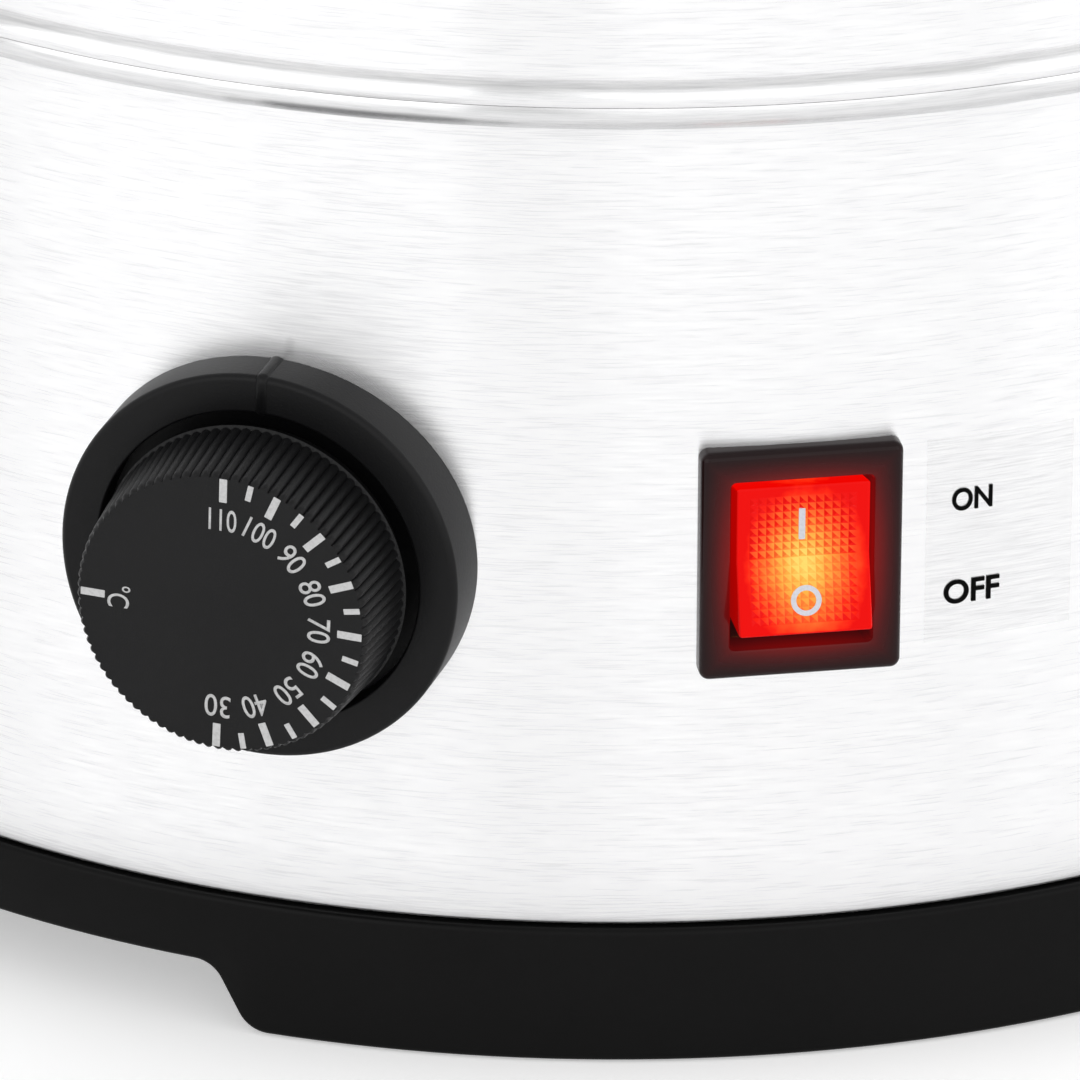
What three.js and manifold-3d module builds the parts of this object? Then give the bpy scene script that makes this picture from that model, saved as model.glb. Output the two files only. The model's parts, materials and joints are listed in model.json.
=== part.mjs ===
// A heated yogurt maker: a steel drum on a black base ring, with a dial thermostat and a lit
// rocker switch at the front, a power inlet at the back and a lidded pot that lifts out.
// Millimetres, +Z up, front towards -Y. The origin is on the floor, on the drum's axis.

import * as THREE from 'three';
import { mergeVertices } from 'three/addons/utils/BufferGeometryUtils.js';
import Module from 'manifold-3d';

const wasm = await Module();
wasm.setup();

// ---------------------------------------------------------------- driving dimensions

const GAP = 0.3;                  // clearance between pieces that touch
const ROUND_STEPS = 48;           // flats around the drum
const FINE_STEPS = 36;            // flats around the pot, the lid and the dial

const DRUM_RADIUS = 140;
const DRUM_TOP = 335;
const SHEET = 0.8;                // wall of every steel shell
const SEAM_HEIGHT = 131.4;        // where the lower drum meets the upper drum
const BEAD_HEIGHT = 2.7;          // each half of the bead
const BEAD_PROUD = 1.4;
const SPIGOT_DEPTH = 8;           // how far the upper drum reaches into the lower one
const DRUM_FLANGE = 16;           // width of the lower drum's inward flange

const BASE_OVERHANG = 1.1;        // base ring beyond the drum
const LEDGE_HEIGHT = 18.9;        // top of the base ring
const BASE_WALL = 3.2;
const BASE_DECK_WIDTH = 27;
const NOTCH_HEIGHT = 9.35;        // arch between two feet
const FOOT_LIFT = 0.3;            // plastic of the feet above the floor
const FOOT_COUNT = 4;
const FOOT_ANGLE = 15;            // middle of the first foot, degrees right of the front
const NOTCH_SPAN = 28;            // degrees between two feet, half way up
const NOTCH_SLOPE = 62;           // degrees of the foot's slanted end
const NOTCH_ROUND = 4.2;
const PAD_RADIUS = 8;
const PAD_HEIGHT = 3;
const PAD_BOSS_WALL = 2;
const SCREW_OFFSET = 17;          // degrees from a foot's middle to its screw
const BASE_SCREW_RADIUS = 2;
const BASE_SCREW_HEAD = 3.8;
const BASE_SCREW_HEAD_HEIGHT = 2.4;
const BASE_SCREW_TIP = 3;         // beyond the base plate
const SCREW_BOSS_WALL = 2;
const SCREW_WELL_PLAY = 1;        // round a base screw's head
const BASE_PLATE_THICKNESS = 1;
const VENT_COUNT = 12;
const VENT_WIDTH = 3;
const VENT_LENGTH = 18;
const VENT_RADIUS = 60;

const DIAL_ANGLE = -13.555;       // degrees right of the front
const DIAL_HEIGHT = 68.5;
const DIAL_SETTING = 88.3;        // direction of the pointer, degrees from the right
const BEZEL_RADIUS = 26;
const BEZEL_HOLE = 21.06;
const BEZEL_FRONT = 6.07;         // above the drum at the dial's middle
const BEZEL_FLOOR = 1.8;
const POINTER_WIDTH = 1.4;
const POINTER_PROUD = 0.35;
const KNOB_FACE_RADIUS = 18.9;
const KNOB_SKIRT_RADIUS = 19.93;
const KNOB_FRONT = 20;
const KNOB_SKIRT = 7.64;
const KNOB_BACK = 4.9;
const KNOB_WALL = 1.8;
const KNOB_BOSS_RADIUS = 6;
const SHAFT_RADIUS = 3;
const SHAFT_GRIP = 11;            // length of the shaft inside the knob
const SHAFT_ROOT = 8;             // length of the shaft inside the thermostat
const SHAFT_HOLE_PLAY = 2;
const THERMOSTAT_SCREW_ROOT = 4;
const THERMOSTAT_SCREW_REACH = 14;
const THERMOSTAT_SCREW_RADIUS = 1.9;
const THERMOSTAT_SCREW_HEAD = 3.4;
const THERMOSTAT_HEAD_HEIGHT = 2;
const THERMOSTAT_PLATE = [35, 22, 1.5];
const THERMOSTAT_BODY = [32, 36, 26];

const SWITCH_ANGLE = 13.555;
const SWITCH_HEIGHT = 69.75;
const SWITCH_BEZEL = [25.5, 31];
const SWITCH_BEZEL_FRONT = 2.1;
const SWITCH_BEZEL_ROUND = 1.2;
const SWITCH_BODY = [21.6, 27.8];
const SWITCH_OPENING = [17.8, 22.6];
const SWITCH_CAVITY = 12;         // depth of the well behind the panel
const SWITCH_DEPTH = 22;
const ROCKER_WIDTH = 16.9;
const ROCKER_HALF = 9.69;         // half height, untilted
const ROCKER_TILT = 8.76;         // degrees either side of the middle
const ROCKER_MIDDLE = 2.53;       // crease of the rocker above the drum
const ROCKER_PIVOT = -4.8;
const ROCKER_BELLY = -8;
const PIVOT_PIN_RADIUS = 1.2;
const LAMP_RADIUS = 1.8;
const LAMP_LENGTH = 9;
const TERMINAL = [6.3, 0.8, 9];
const TERMINAL_ROOT = 2;
const TERMINAL_SPREAD = [5.5, 7];

const LABEL_START = 20.15;        // degrees right of the front
const LABEL_SPAN = 8;
const LABEL_BOTTOM = 56.15;
const LABEL_TOP = 84;
const LABEL_THICKNESS = 0.25;

const TANK_SPACE = 13;            // between the tank's wall and the drum's outside
const TANK_BELOW_SEAM = 9.4;
const TANK_ROUND = 8;
const TANK_LIP_DROP = 6;
const INSULATION_THICKNESS = 5;
const STUD_RADIUS = 4;
const STUD_LENGTH = 26;
const HEATER_PLATE_RADIUS = 95;
const HEATER_PLATE_THICKNESS = 9;
const ELEMENT_RADIUS = 4;
const ELEMENT_LOOP = 66;
const ELEMENT_SWEEP = 300;
const ELEMENT_LEG = 14;
const ELEMENT_CLEARANCE = 1;
const BRACKET = [150, 18, 2];
const NUT_RADIUS = 7.5;
const NUT_HEIGHT = 6.5;
const CUTOUT_RADIUS = 8;
const CUTOUT_HEIGHT = 8;
const CUTOUT_REACH = 36;
const BULB_RADIUS = 3;
const BULB_LENGTH = 50;
const CAPILLARY_RADIUS = 1;

const POT_SPACE = 7.5;            // between the pot and the tank
const POT_ROUND = 10;
const POT_FLOOR_GAP = 10;         // air under the pot
const POT_SEAT = 6.5;             // how far the pot's flange lies over the tank's
const LID_RISE = 20;
const LID_SKIRT = 3.4;             // ends just above the tank's lip
const LID_PLAY = 1.2;             // between the lid's skirt and the pot
const GASKET_WIDTH = 4;
const GASKET_HEIGHT = 2;
const LID_KNOB_RADIUS = 19;
const LID_KNOB_HEIGHT = 28;
const LID_KNOB_NECK = 9;
const LID_SCREW_RADIUS = 2.5;
const LID_SCREW_HEAD = 5;
const LID_SCREW_HEAD_HEIGHT = 2.5;
const LID_SCREW_GRIP = 14;

const HANDLE_DROP = 67;           // middle of the handles below the drum's top
const HANDLE_REACH = 45;
const HANDLE_HALF = 62;           // half the length along the drum
const HANDLE_BAR = 16;
const HANDLE_THICKNESS = 15;
const HANDLE_ROUND = 26;
const HANDLE_SCREW_SPREAD = 53;
const HANDLE_SCREW_RADIUS = 2.5;
const HANDLE_SCREW_HEAD = 4.5;
const HANDLE_SCREW_HEAD_HEIGHT = 2.5;
const HANDLE_SCREW_LENGTH = 18;

const INLET_HEIGHT = 62;
const INLET_HOUSING = [64, 44];
const INLET_HOUSING_FRONT = 15.7;
const INLET_HOUSING_ROUND = 6;
const INLET_FLANGE = [50, 27];
const INLET_FLANGE_THICKNESS = 2.3;
const INLET_BODY = [28, 20.4];
const INLET_CAVITY = [24.6, 16.6];
const INLET_CAVITY_DEPTH = 17;
const INLET_BACK = -8;
const INLET_SCREW_REACH = 20;
const INLET_SCREW_RADIUS = 1.5;
const INLET_SCREW_HEAD = 2.8;
const INLET_SCREW_HEAD_HEIGHT = 1.2;
const INLET_SCREW_LENGTH = 10;
const PIN = [2, 4, 15];
const PIN_ROOT = 4;
const TERMINAL_BLOCK = [36, 14, 12];
const TERMINAL_BLOCK_RADIUS = 70;
const WIRE_RADIUS = 1.3;

// ---------------------------------------------------------------- derived places

const baseRadius = DRUM_RADIUS + BASE_OVERHANG;
const tankRadius = DRUM_RADIUS - TANK_SPACE;
const tankFloor = SEAM_HEIGHT - TANK_BELOW_SEAM;
const potRadius = tankRadius - POT_SPACE;
const handleHeight = DRUM_TOP - HANDLE_DROP;
const drumInside = DRUM_RADIUS - SHEET;
const drumFoot = LEDGE_HEIGHT + GAP;
const plateBottom = drumFoot + SHEET + GAP;
const plateTop = plateBottom + BASE_PLATE_THICKNESS;
const deckInside = baseRadius - BASE_DECK_WIDTH;
const padCircle = (deckInside + baseRadius) / 2;
const tankTop = DRUM_TOP + GAP + SHEET;
const potFlangeBottom = tankTop + GAP;
const potFlangeTop = potFlangeBottom + SHEET;
const potFlangeRadius = tankRadius + POT_SEAT;
const gasketRadius = (potRadius + potFlangeRadius - GASKET_WIDTH) / 2;
const lidRimBottom = potFlangeTop + GAP + GASKET_HEIGHT + GAP;
const lidTop = lidRimBottom + SHEET + LID_RISE;
const heaterTop = tankFloor - GAP;
const heaterBottom = heaterTop - HEATER_PLATE_THICKNESS;
const elementHeight = heaterBottom - ELEMENT_CLEARANCE - ELEMENT_RADIUS;
const bracketTop = elementHeight - ELEMENT_RADIUS - GAP;
const bulbHeight = tankFloor - GAP - BULB_RADIUS;
const bulbCircle = (HEATER_PLATE_RADIUS + tankRadius) / 2;
const degrees = THREE.MathUtils.degToRad;

// How far a round wall falls back behind its front line, at a distance to one side of it.
const fallBack = (radius, side) => radius - Math.sqrt(radius * radius - side * side);

// The drum's wall is made of flats: the depth of their middles behind the true round.
const flatDepth = DRUM_RADIUS * (1 - Math.cos(Math.PI / ROUND_STEPS));

// ---------------------------------------------------------------- solids and meshes

function solid(geometry) {
  const bare = geometry.index ? geometry.toNonIndexed() : geometry.clone();
  bare.deleteAttribute('normal');
  bare.deleteAttribute('uv');
  const merged = mergeVertices(bare, 1e-4);
  const vertProperties = Float32Array.from(merged.attributes.position.array);
  const triVerts = Uint32Array.from(merged.index.array);
  return new wasm.Manifold(new wasm.Mesh({ numProp: 3, vertProperties, triVerts }));
}

function geometryOf(body) {
  const { vertProperties, triVerts } = body.getMesh();
  const geometry = new THREE.BufferGeometry();
  geometry.setAttribute('position', new THREE.BufferAttribute(vertProperties, 3));
  geometry.setIndex(new THREE.BufferAttribute(triVerts, 1));
  return geometry;
}

const cut = (body, ...tools) => tools.reduce((rest, tool) => rest.subtract(tool), body);
const join = (...bodies) => bodies.reduce((whole, body) => whole.add(body));

// Shapes turned round Z from [radius, height] points; a profile off the axis closes on itself.
function turned(points, steps = ROUND_STEPS) {
  const outline = points.map(([radius, height]) => new THREE.Vector2(radius, height));
  const area = THREE.ShapeUtils.area(outline);
  if (area < 0) outline.reverse();
  const offAxis = points.some(([radius]) => radius === 0) === false;
  if (offAxis) outline.push(outline[0].clone());
  if (!offAxis) {
    const start = outline.findIndex((point, i) => point.x === 0
      && outline[(i + 1) % outline.length].x > 0);
    outline.push(...outline.splice(0, start));
  }
  return solid(new THREE.LatheGeometry(outline, steps).rotateX(Math.PI / 2));
}

const tube = (outer, inner, bottom, top, steps) =>
  turned([[inner, bottom], [outer, bottom], [outer, top], [inner, top]], steps);

// A rod along Z, or along X or Y when turned.
function rod(radius, bottom, top, steps = 12) {
  const shape = new THREE.CylinderGeometry(radius, radius, top - bottom, steps);
  return solid(shape.rotateX(Math.PI / 2).translate(0, 0, (bottom + top) / 2));
}

const rodAlongX = (radius, left, right, steps) => rod(radius, left, right, steps).rotate([0, 90, 0]);

function block([x0, x1], [y0, y1], [z0, z1]) {
  const shape = new THREE.BoxGeometry(x1 - x0, y1 - y0, z1 - z0);
  return solid(shape.translate((x0 + x1) / 2, (y0 + y1) / 2, (z0 + z1) / 2));
}

const centred = (size) => [-size / 2, size / 2];

// A plate standing along Z, from an outline drawn in X and Y.
function extruded(shape, bottom, top, curveSegments = 6) {
  const settings = { depth: top - bottom, bevelEnabled: false, curveSegments };
  return solid(new THREE.ExtrudeGeometry(shape, settings).translate(0, 0, bottom));
}

function roundedBox(width, height, round) {
  const [x0, x1, y0, y1] = [...centred(width), ...centred(height)];
  const shape = new THREE.Shape();
  shape.moveTo(x1, y0 + round);
  shape.absarc(x1 - round, y1 - round, round, 0, Math.PI / 2);
  shape.absarc(x0 + round, y1 - round, round, Math.PI / 2, Math.PI);
  shape.absarc(x0 + round, y0 + round, round, Math.PI, 1.5 * Math.PI);
  shape.absarc(x1 - round, y0 + round, round, 1.5 * Math.PI, 2 * Math.PI);
  return shape;
}

// A round tube along a smooth path through the points.
function along(points, radius, steps) {
  const path = new THREE.CatmullRomCurve3(points.map((point) => new THREE.Vector3(...point)));
  const section = new THREE.Shape();
  section.absarc(0, 0, radius, 0, 2 * Math.PI);
  return new THREE.ExtrudeGeometry(section, { steps, extrudePath: path, curveSegments: 4 });
}

const object = new THREE.Group();

function add(parent, name, body, material) {
  const geometry = body.isBufferGeometry ? body : geometryOf(body);
  const finish = new THREE.MeshStandardMaterial(material);
  const mesh = new THREE.Mesh(geometry, finish);
  mesh.name = name;
  parent.add(mesh);
  return mesh;
}

const STEEL = { color: 0xd9dadb, metalness: 1, roughness: 0.3 };
const SPRING_STEEL = { color: 0xa9abad, metalness: 1, roughness: 0.35 };
const ALUMINIUM = { color: 0xb9bbbd, metalness: 1, roughness: 0.5 };
const BRASS = { color: 0xc9a95c, metalness: 1, roughness: 0.35 };
const BLACK_PLASTIC = { color: 0x17181a, metalness: 0, roughness: 0.5 };
const GLOSS_BLACK = { color: 0x140d0c, metalness: 0, roughness: 0.15 };
const RUBBER = { color: 0x1c1c1d, metalness: 0, roughness: 0.9 };
const RED_LENS = { color: 0xff2a10, metalness: 0, roughness: 0.2 };
const WIRE_COVER = { color: 0x8b3226, metalness: 0, roughness: 0.6 };
const WHITE_SILICONE = { color: 0xe9e7e2, metalness: 0, roughness: 0.6 };
const WOOL = { color: 0xcfc9b4, metalness: 0, roughness: 1 };
const CLEAR_FILM = { color: 0xf4f5f6, metalness: 0, roughness: 0.2 };
const GLASS = { color: 0xffb35a, metalness: 0, roughness: 0.1 };

// A place on the drum's face: X to the right, Y up and Z straight out of the drum.
function panelPlace(angle, height) {
  const turn = degrees(angle);
  const right = new THREE.Vector3(Math.cos(turn), Math.sin(turn), 0);
  const up = new THREE.Vector3(0, 0, 1);
  const out = new THREE.Vector3(Math.sin(turn), -Math.cos(turn), 0);
  const place = new THREE.Matrix4().makeBasis(right, up, out);
  return place.setPosition(out.x * DRUM_RADIUS, out.y * DRUM_RADIUS, height);
}

function panelGroup(place) {
  const group = new THREE.Group();
  group.applyMatrix4(place);
  object.add(group);
  return group;
}

const onDrum = (place, body) => body.transform(place.elements);
const pointOn = (place, ...local) => new THREE.Vector3(...local).applyMatrix4(place).toArray();

const dialPlace = panelPlace(DIAL_ANGLE, DIAL_HEIGHT);
const switchPlace = panelPlace(SWITCH_ANGLE, SWITCH_HEIGHT);
const inletPlace = panelPlace(180, INLET_HEIGHT);

// The drum's own round, grown by a gap, in a panel place's axes: cuts a piece's back to fit it.
function drumIn(place, growth = GAP) {
  const drum = tube(DRUM_RADIUS + growth, DRUM_RADIUS / 2, -DRUM_TOP, 2 * DRUM_TOP);
  return drum.transform(place.clone().invert().elements);
}

// ---------------------------------------------------------------- base

// Foot and screw places, as angles in degrees right of the front.
const footAngles = Array.from({ length: FOOT_COUNT }, (_, i) => FOOT_ANGLE + (i * 360) / FOOT_COUNT);

function around(radius, angle, height = 0) {
  return [radius * Math.sin(degrees(angle)), -radius * Math.cos(degrees(angle)), height];
}

// The arch between two feet: slanted ends, rounded above and below, bent round the base.
function notchCutter(middle) {
  const slope = degrees(NOTCH_SLOPE);
  const rise = NOTCH_HEIGHT - FOOT_LIFT;
  const roundRise = 2 * NOTCH_ROUND * (1 - Math.cos(slope));
  const run = 2 * NOTCH_ROUND * Math.sin(slope) + (rise - roundRise) / Math.tan(slope);
  const half = degrees(NOTCH_SPAN / 2) * baseRadius;
  const bottomEnd = half + run / 2;
  const topEnd = half - run / 2;
  const ramp = [];
  for (let i = 0; i <= 3; i += 1) {
    const turn = (slope * i) / 3;
    ramp.push([bottomEnd - NOTCH_ROUND * Math.sin(turn), FOOT_LIFT + NOTCH_ROUND * (1 - Math.cos(turn))]);
  }
  for (let i = 3; i >= 0; i -= 1) {
    const turn = (slope * i) / 3;
    ramp.push([topEnd + NOTCH_ROUND * Math.sin(turn), NOTCH_HEIGHT - NOTCH_ROUND * (1 - Math.cos(turn))]);
  }
  const flat = Array.from({ length: 5 }, (_, i) => [topEnd * (1 - (i + 1) / 3), NOTCH_HEIGHT]);
  const otherRamp = ramp.map(([side, height]) => [-side, height]).reverse();
  const floor = Array.from({ length: 7 }, (_, i) => [bottomEnd * (i / 3 - 1), -1]);
  const outline = [...ramp, ...flat, ...otherRamp, ...floor];
  const shape = new THREE.Shape(outline.map(([side, height]) => new THREE.Vector2(side, height)));
  const [outside, inside] = [1.1 * baseRadius, 0.6 * baseRadius];
  const settings = { depth: outside - inside, bevelEnabled: false };
  const geometry = new THREE.ExtrudeGeometry(shape, settings);
  const position = geometry.attributes.position;
  for (let i = 0; i < position.count; i += 1) {
    const angle = middle + THREE.MathUtils.radToDeg(position.getX(i) / baseRadius);
    const radius = outside - position.getZ(i);
    position.setXYZ(i, ...around(radius, angle, position.getY(i)));
  }
  const cutter = solid(geometry);
  return cutter.volume() > 0 ? cutter : solid(flipped(geometry));
}

function flipped(geometry) {
  const copy = geometry.clone();
  const { array } = copy.attributes.position;
  for (let i = 0; i < array.length; i += 9) {
    const corner = array.slice(i + 3, i + 6);
    array.copyWithin(i + 3, i + 6, i + 9);
    array.set(corner, i + 6);
  }
  return copy;
}

{
  const chamfer = 0.7;
  const deckBottom = LEDGE_HEIGHT - BASE_WALL;
  let ring = turned([
    [deckInside, deckBottom], [baseRadius - BASE_WALL, deckBottom],
    [baseRadius - BASE_WALL, FOOT_LIFT], [baseRadius, FOOT_LIFT],
    [baseRadius, LEDGE_HEIGHT - chamfer], [baseRadius - chamfer, LEDGE_HEIGHT],
    [deckInside, LEDGE_HEIGHT],
  ]);
  for (let i = 0; i < FOOT_COUNT; i += 1) {
    ring = cut(ring, notchCutter(footAngles[i] + 180 / FOOT_COUNT));
  }
  for (const angle of footAngles) {
    const boss = PAD_RADIUS + GAP + PAD_BOSS_WALL;
    const padBoss = rod(boss, FOOT_LIFT, deckBottom + 1, 16).translate(around(padCircle, angle));
    const pocketTop = PAD_HEIGHT + GAP;
    const pocket = rod(PAD_RADIUS + GAP, -1, pocketTop, 16).translate(around(padCircle, angle));
    const screwPlace = around(padCircle, angle + SCREW_OFFSET);
    const wellRadius = BASE_SCREW_HEAD + SCREW_WELL_PLAY;
    const bossRadius = wellRadius + SCREW_BOSS_WALL;
    const screwBoss = rod(bossRadius, 2 * FOOT_LIFT, deckBottom + 1).translate(screwPlace);
    const well = rod(wellRadius, -1, deckBottom).translate(screwPlace);
    const hole = rod(BASE_SCREW_RADIUS + GAP, -1, LEDGE_HEIGHT + 1, 8).translate(screwPlace);
    ring = cut(join(ring, padBoss, screwBoss), pocket, well, hole);
  }
  add(object, 'base_ring', ring, BLACK_PLASTIC);

  const screwHole = (angle) => rod(BASE_SCREW_RADIUS + GAP, 0, plateTop + 1, 8)
    .translate(around(padCircle, angle + SCREW_OFFSET));
  footAngles.forEach((angle, i) => {
    const pad = rod(PAD_RADIUS, 0, PAD_HEIGHT, 16).translate(around(padCircle, angle));
    add(object, `rubber_pad_${i + 1}`, pad, RUBBER);
    const headTop = deckBottom - GAP;
    const shank = rod(BASE_SCREW_RADIUS, headTop - 0.5, plateTop + BASE_SCREW_TIP, 8);
    const head = rod(BASE_SCREW_HEAD, headTop - BASE_SCREW_HEAD_HEIGHT, headTop);
    const screw = join(shank, head).translate(around(padCircle, angle + SCREW_OFFSET));
    add(object, `base_screw_${i + 1}`, screw, SPRING_STEEL);
  });

  const plate = new THREE.Shape();
  plate.absarc(0, 0, drumInside - GAP, 0, 2 * Math.PI);
  let basePlate = extruded(plate, plateBottom, plateTop, ROUND_STEPS / 2);
  for (let i = 0; i < VENT_COUNT; i += 1) {
    const vent = block(centred(VENT_WIDTH), centred(VENT_LENGTH), [plateBottom - 1, plateTop + 1]);
    const placed = vent.translate([0, VENT_RADIUS, 0]).rotate([0, 0, (i * 360) / VENT_COUNT]);
    basePlate = cut(basePlate, placed);
  }
  footAngles.forEach((angle) => { basePlate = cut(basePlate, screwHole(angle)); });
  add(object, 'base_plate', basePlate, STEEL);

  // Lower drum: inward flange, wall, its half of the bead, and the holes for what it carries.
  const bead = (level, direction) => [0, 0.5, 1].map((share) => [
    DRUM_RADIUS + BEAD_PROUD * Math.sin((Math.PI / 2) * (1 - share) ** 0.6) * (share < 1 ? 1 : 0),
    level + direction * BEAD_HEIGHT * share,
  ]);
  const corner = 1.2;
  let lower = turned([
    [drumInside - DRUM_FLANGE, drumFoot], [DRUM_RADIUS - corner, drumFoot],
    [DRUM_RADIUS, drumFoot + corner],
    ...bead(SEAM_HEIGHT - GAP / 2, -1).reverse(),
    [drumInside, SEAM_HEIGHT - GAP / 2],
    [drumInside, drumFoot + SHEET], [drumInside - DRUM_FLANGE, drumFoot + SHEET],
  ]);
  footAngles.forEach((angle) => { lower = cut(lower, screwHole(angle)); });
  const dialHole = rod(SHAFT_RADIUS + SHAFT_HOLE_PLAY, -20, 20, 16);
  const dialScrewHoles = [-1, 1].map((side) =>
    rod(THERMOSTAT_SCREW_RADIUS + GAP, -20, 20, 8).translate([side * THERMOSTAT_SCREW_REACH, 0, 0]));
  const dialHoles = join(dialHole, ...dialScrewHoles);
  const switchHole = block(
    centred(SWITCH_BODY[0] + 2 * GAP),
    centred(SWITCH_BODY[1] + 2 * GAP),
    [-SWITCH_DEPTH, SWITCH_DEPTH],
  );
  const inletHole = block(
    centred(INLET_BODY[0] + 2 * GAP),
    centred(INLET_BODY[1] + 2 * GAP),
    [-20, 20],
  );
  lower = cut(
    lower,
    onDrum(dialPlace, dialHoles),
    onDrum(switchPlace, switchHole),
    onDrum(inletPlace, inletHole),
  );
  add(object, 'lower_drum', lower, STEEL);

  // Upper drum: a spigot inside the lower drum, the other half of the bead, and the wall.
  const spigot = drumInside - GAP;
  const seamTop = SEAM_HEIGHT + GAP / 2;
  let upper = turned([
    [spigot - SHEET, SEAM_HEIGHT - SPIGOT_DEPTH], [spigot, SEAM_HEIGHT - SPIGOT_DEPTH],
    [spigot, seamTop],
    ...bead(seamTop, 1),
    [DRUM_RADIUS, DRUM_TOP], [drumInside, DRUM_TOP],
    [drumInside, seamTop + BEAD_HEIGHT], [spigot - SHEET, seamTop],
  ]);
  for (const side of [-1, 1]) {
    for (const end of [-1, 1]) {
      const hole = rodAlongX(HANDLE_SCREW_RADIUS + GAP, 0, 2 * DRUM_RADIUS, 8);
      const placed = side < 0 ? hole.rotate([0, 0, 180]) : hole;
      upper = cut(upper, placed.translate([0, end * HANDLE_SCREW_SPREAD, handleHeight]));
    }
  }
  add(object, 'upper_drum', upper, STEEL);
}

// ---------------------------------------------------------------- tank and heater

{
  const lipRadius = DRUM_RADIUS + GAP + SHEET;
  const corner = TANK_ROUND;
  const body = turned([
    [0, tankFloor], [tankRadius - corner, tankFloor], [tankRadius - corner / 3, tankFloor + corner / 3],
    [tankRadius, tankFloor + corner], [tankRadius, DRUM_TOP + GAP], [DRUM_RADIUS + GAP, DRUM_TOP + GAP],
    [DRUM_RADIUS + GAP, DRUM_TOP - TANK_LIP_DROP], [lipRadius, DRUM_TOP - TANK_LIP_DROP],
    [lipRadius, tankTop - SHEET], [lipRadius - SHEET, tankTop], [tankRadius - SHEET, tankTop],
    [tankRadius - SHEET, tankFloor + corner], [tankRadius - corner / 3 - SHEET, tankFloor + corner / 3],
    [tankRadius - corner, tankFloor + SHEET], [0, tankFloor + SHEET],
  ]);
  const stud = rod(STUD_RADIUS, tankFloor - STUD_LENGTH, tankFloor + SHEET / 2, 16);
  add(object, 'inner_tank', join(body, stud), STEEL);

  const woolTop = DRUM_TOP - TANK_LIP_DROP;
  const woolInside = tankRadius + GAP;
  const wool = tube(woolInside + INSULATION_THICKNESS, woolInside, tankFloor + TANK_ROUND, woolTop);
  add(object, 'insulation', wool, WOOL);

  const plate = tube(HEATER_PLATE_RADIUS, STUD_RADIUS + GAP, heaterBottom, heaterTop, 40);
  add(object, 'heater_plate', plate, ALUMINIUM);

  // The element's open loop under the plate, with its two cold ends turned down.
  const open = (360 - ELEMENT_SWEEP) / 2;
  const loop = [];
  const legTurn = degrees(open) / 3;
  const legPoint = (angle, drop) => [
    ELEMENT_LOOP * Math.sin(angle), ELEMENT_LOOP * Math.cos(angle), elementHeight - drop,
  ];
  loop.push(legPoint(degrees(open) - legTurn, ELEMENT_LEG));
  loop.push(legPoint(degrees(open) - legTurn * 0.95, ELEMENT_LEG / 2));
  for (let i = 0; i <= 16; i += 1) {
    loop.push(legPoint(degrees(open + (ELEMENT_SWEEP * i) / 16), 0));
  }
  loop.push(legPoint(degrees(360 - open) + legTurn * 0.95, ELEMENT_LEG / 2));
  loop.push(legPoint(degrees(360 - open) + legTurn, ELEMENT_LEG));
  add(object, 'heating_element', along(loop, ELEMENT_RADIUS, 44), SPRING_STEEL);

  const bar = block(centred(BRACKET[0]), centred(BRACKET[1]), [bracketTop - BRACKET[2], bracketTop]);
  const barHole = rod(STUD_RADIUS + GAP, bracketTop - 20, bracketTop + 20, 16);
  add(object, 'heater_bracket', cut(bar, barHole), SPRING_STEEL);
  const nutTop = bracketTop - BRACKET[2] - GAP;
  const nutHole = rod(STUD_RADIUS + GAP, nutTop - 20, nutTop + 20, 16);
  const nut = cut(rod(NUT_RADIUS, nutTop - NUT_HEIGHT, nutTop, 6), nutHole);
  add(object, 'heater_nut', nut, SPRING_STEEL);
  const cutoutTop = heaterBottom - GAP;
  const cutout = rod(CUTOUT_RADIUS, cutoutTop - CUTOUT_HEIGHT, cutoutTop, 16);
  add(object, 'thermal_cutout', cutout.translate([0, -CUTOUT_REACH, 0]), BLACK_PLASTIC);

  // Sensor bulb clipped under the tank, beyond the plate, above the thermostat.
  const bulb = rodAlongX(BULB_RADIUS, ...centred(BULB_LENGTH), 12).rotate([0, 0, DIAL_ANGLE]);
  add(object, 'sensor_bulb', bulb.translate(around(bulbCircle, DIAL_ANGLE, bulbHeight)), BRASS);
}

// ---------------------------------------------------------------- dial and thermostat

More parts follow.
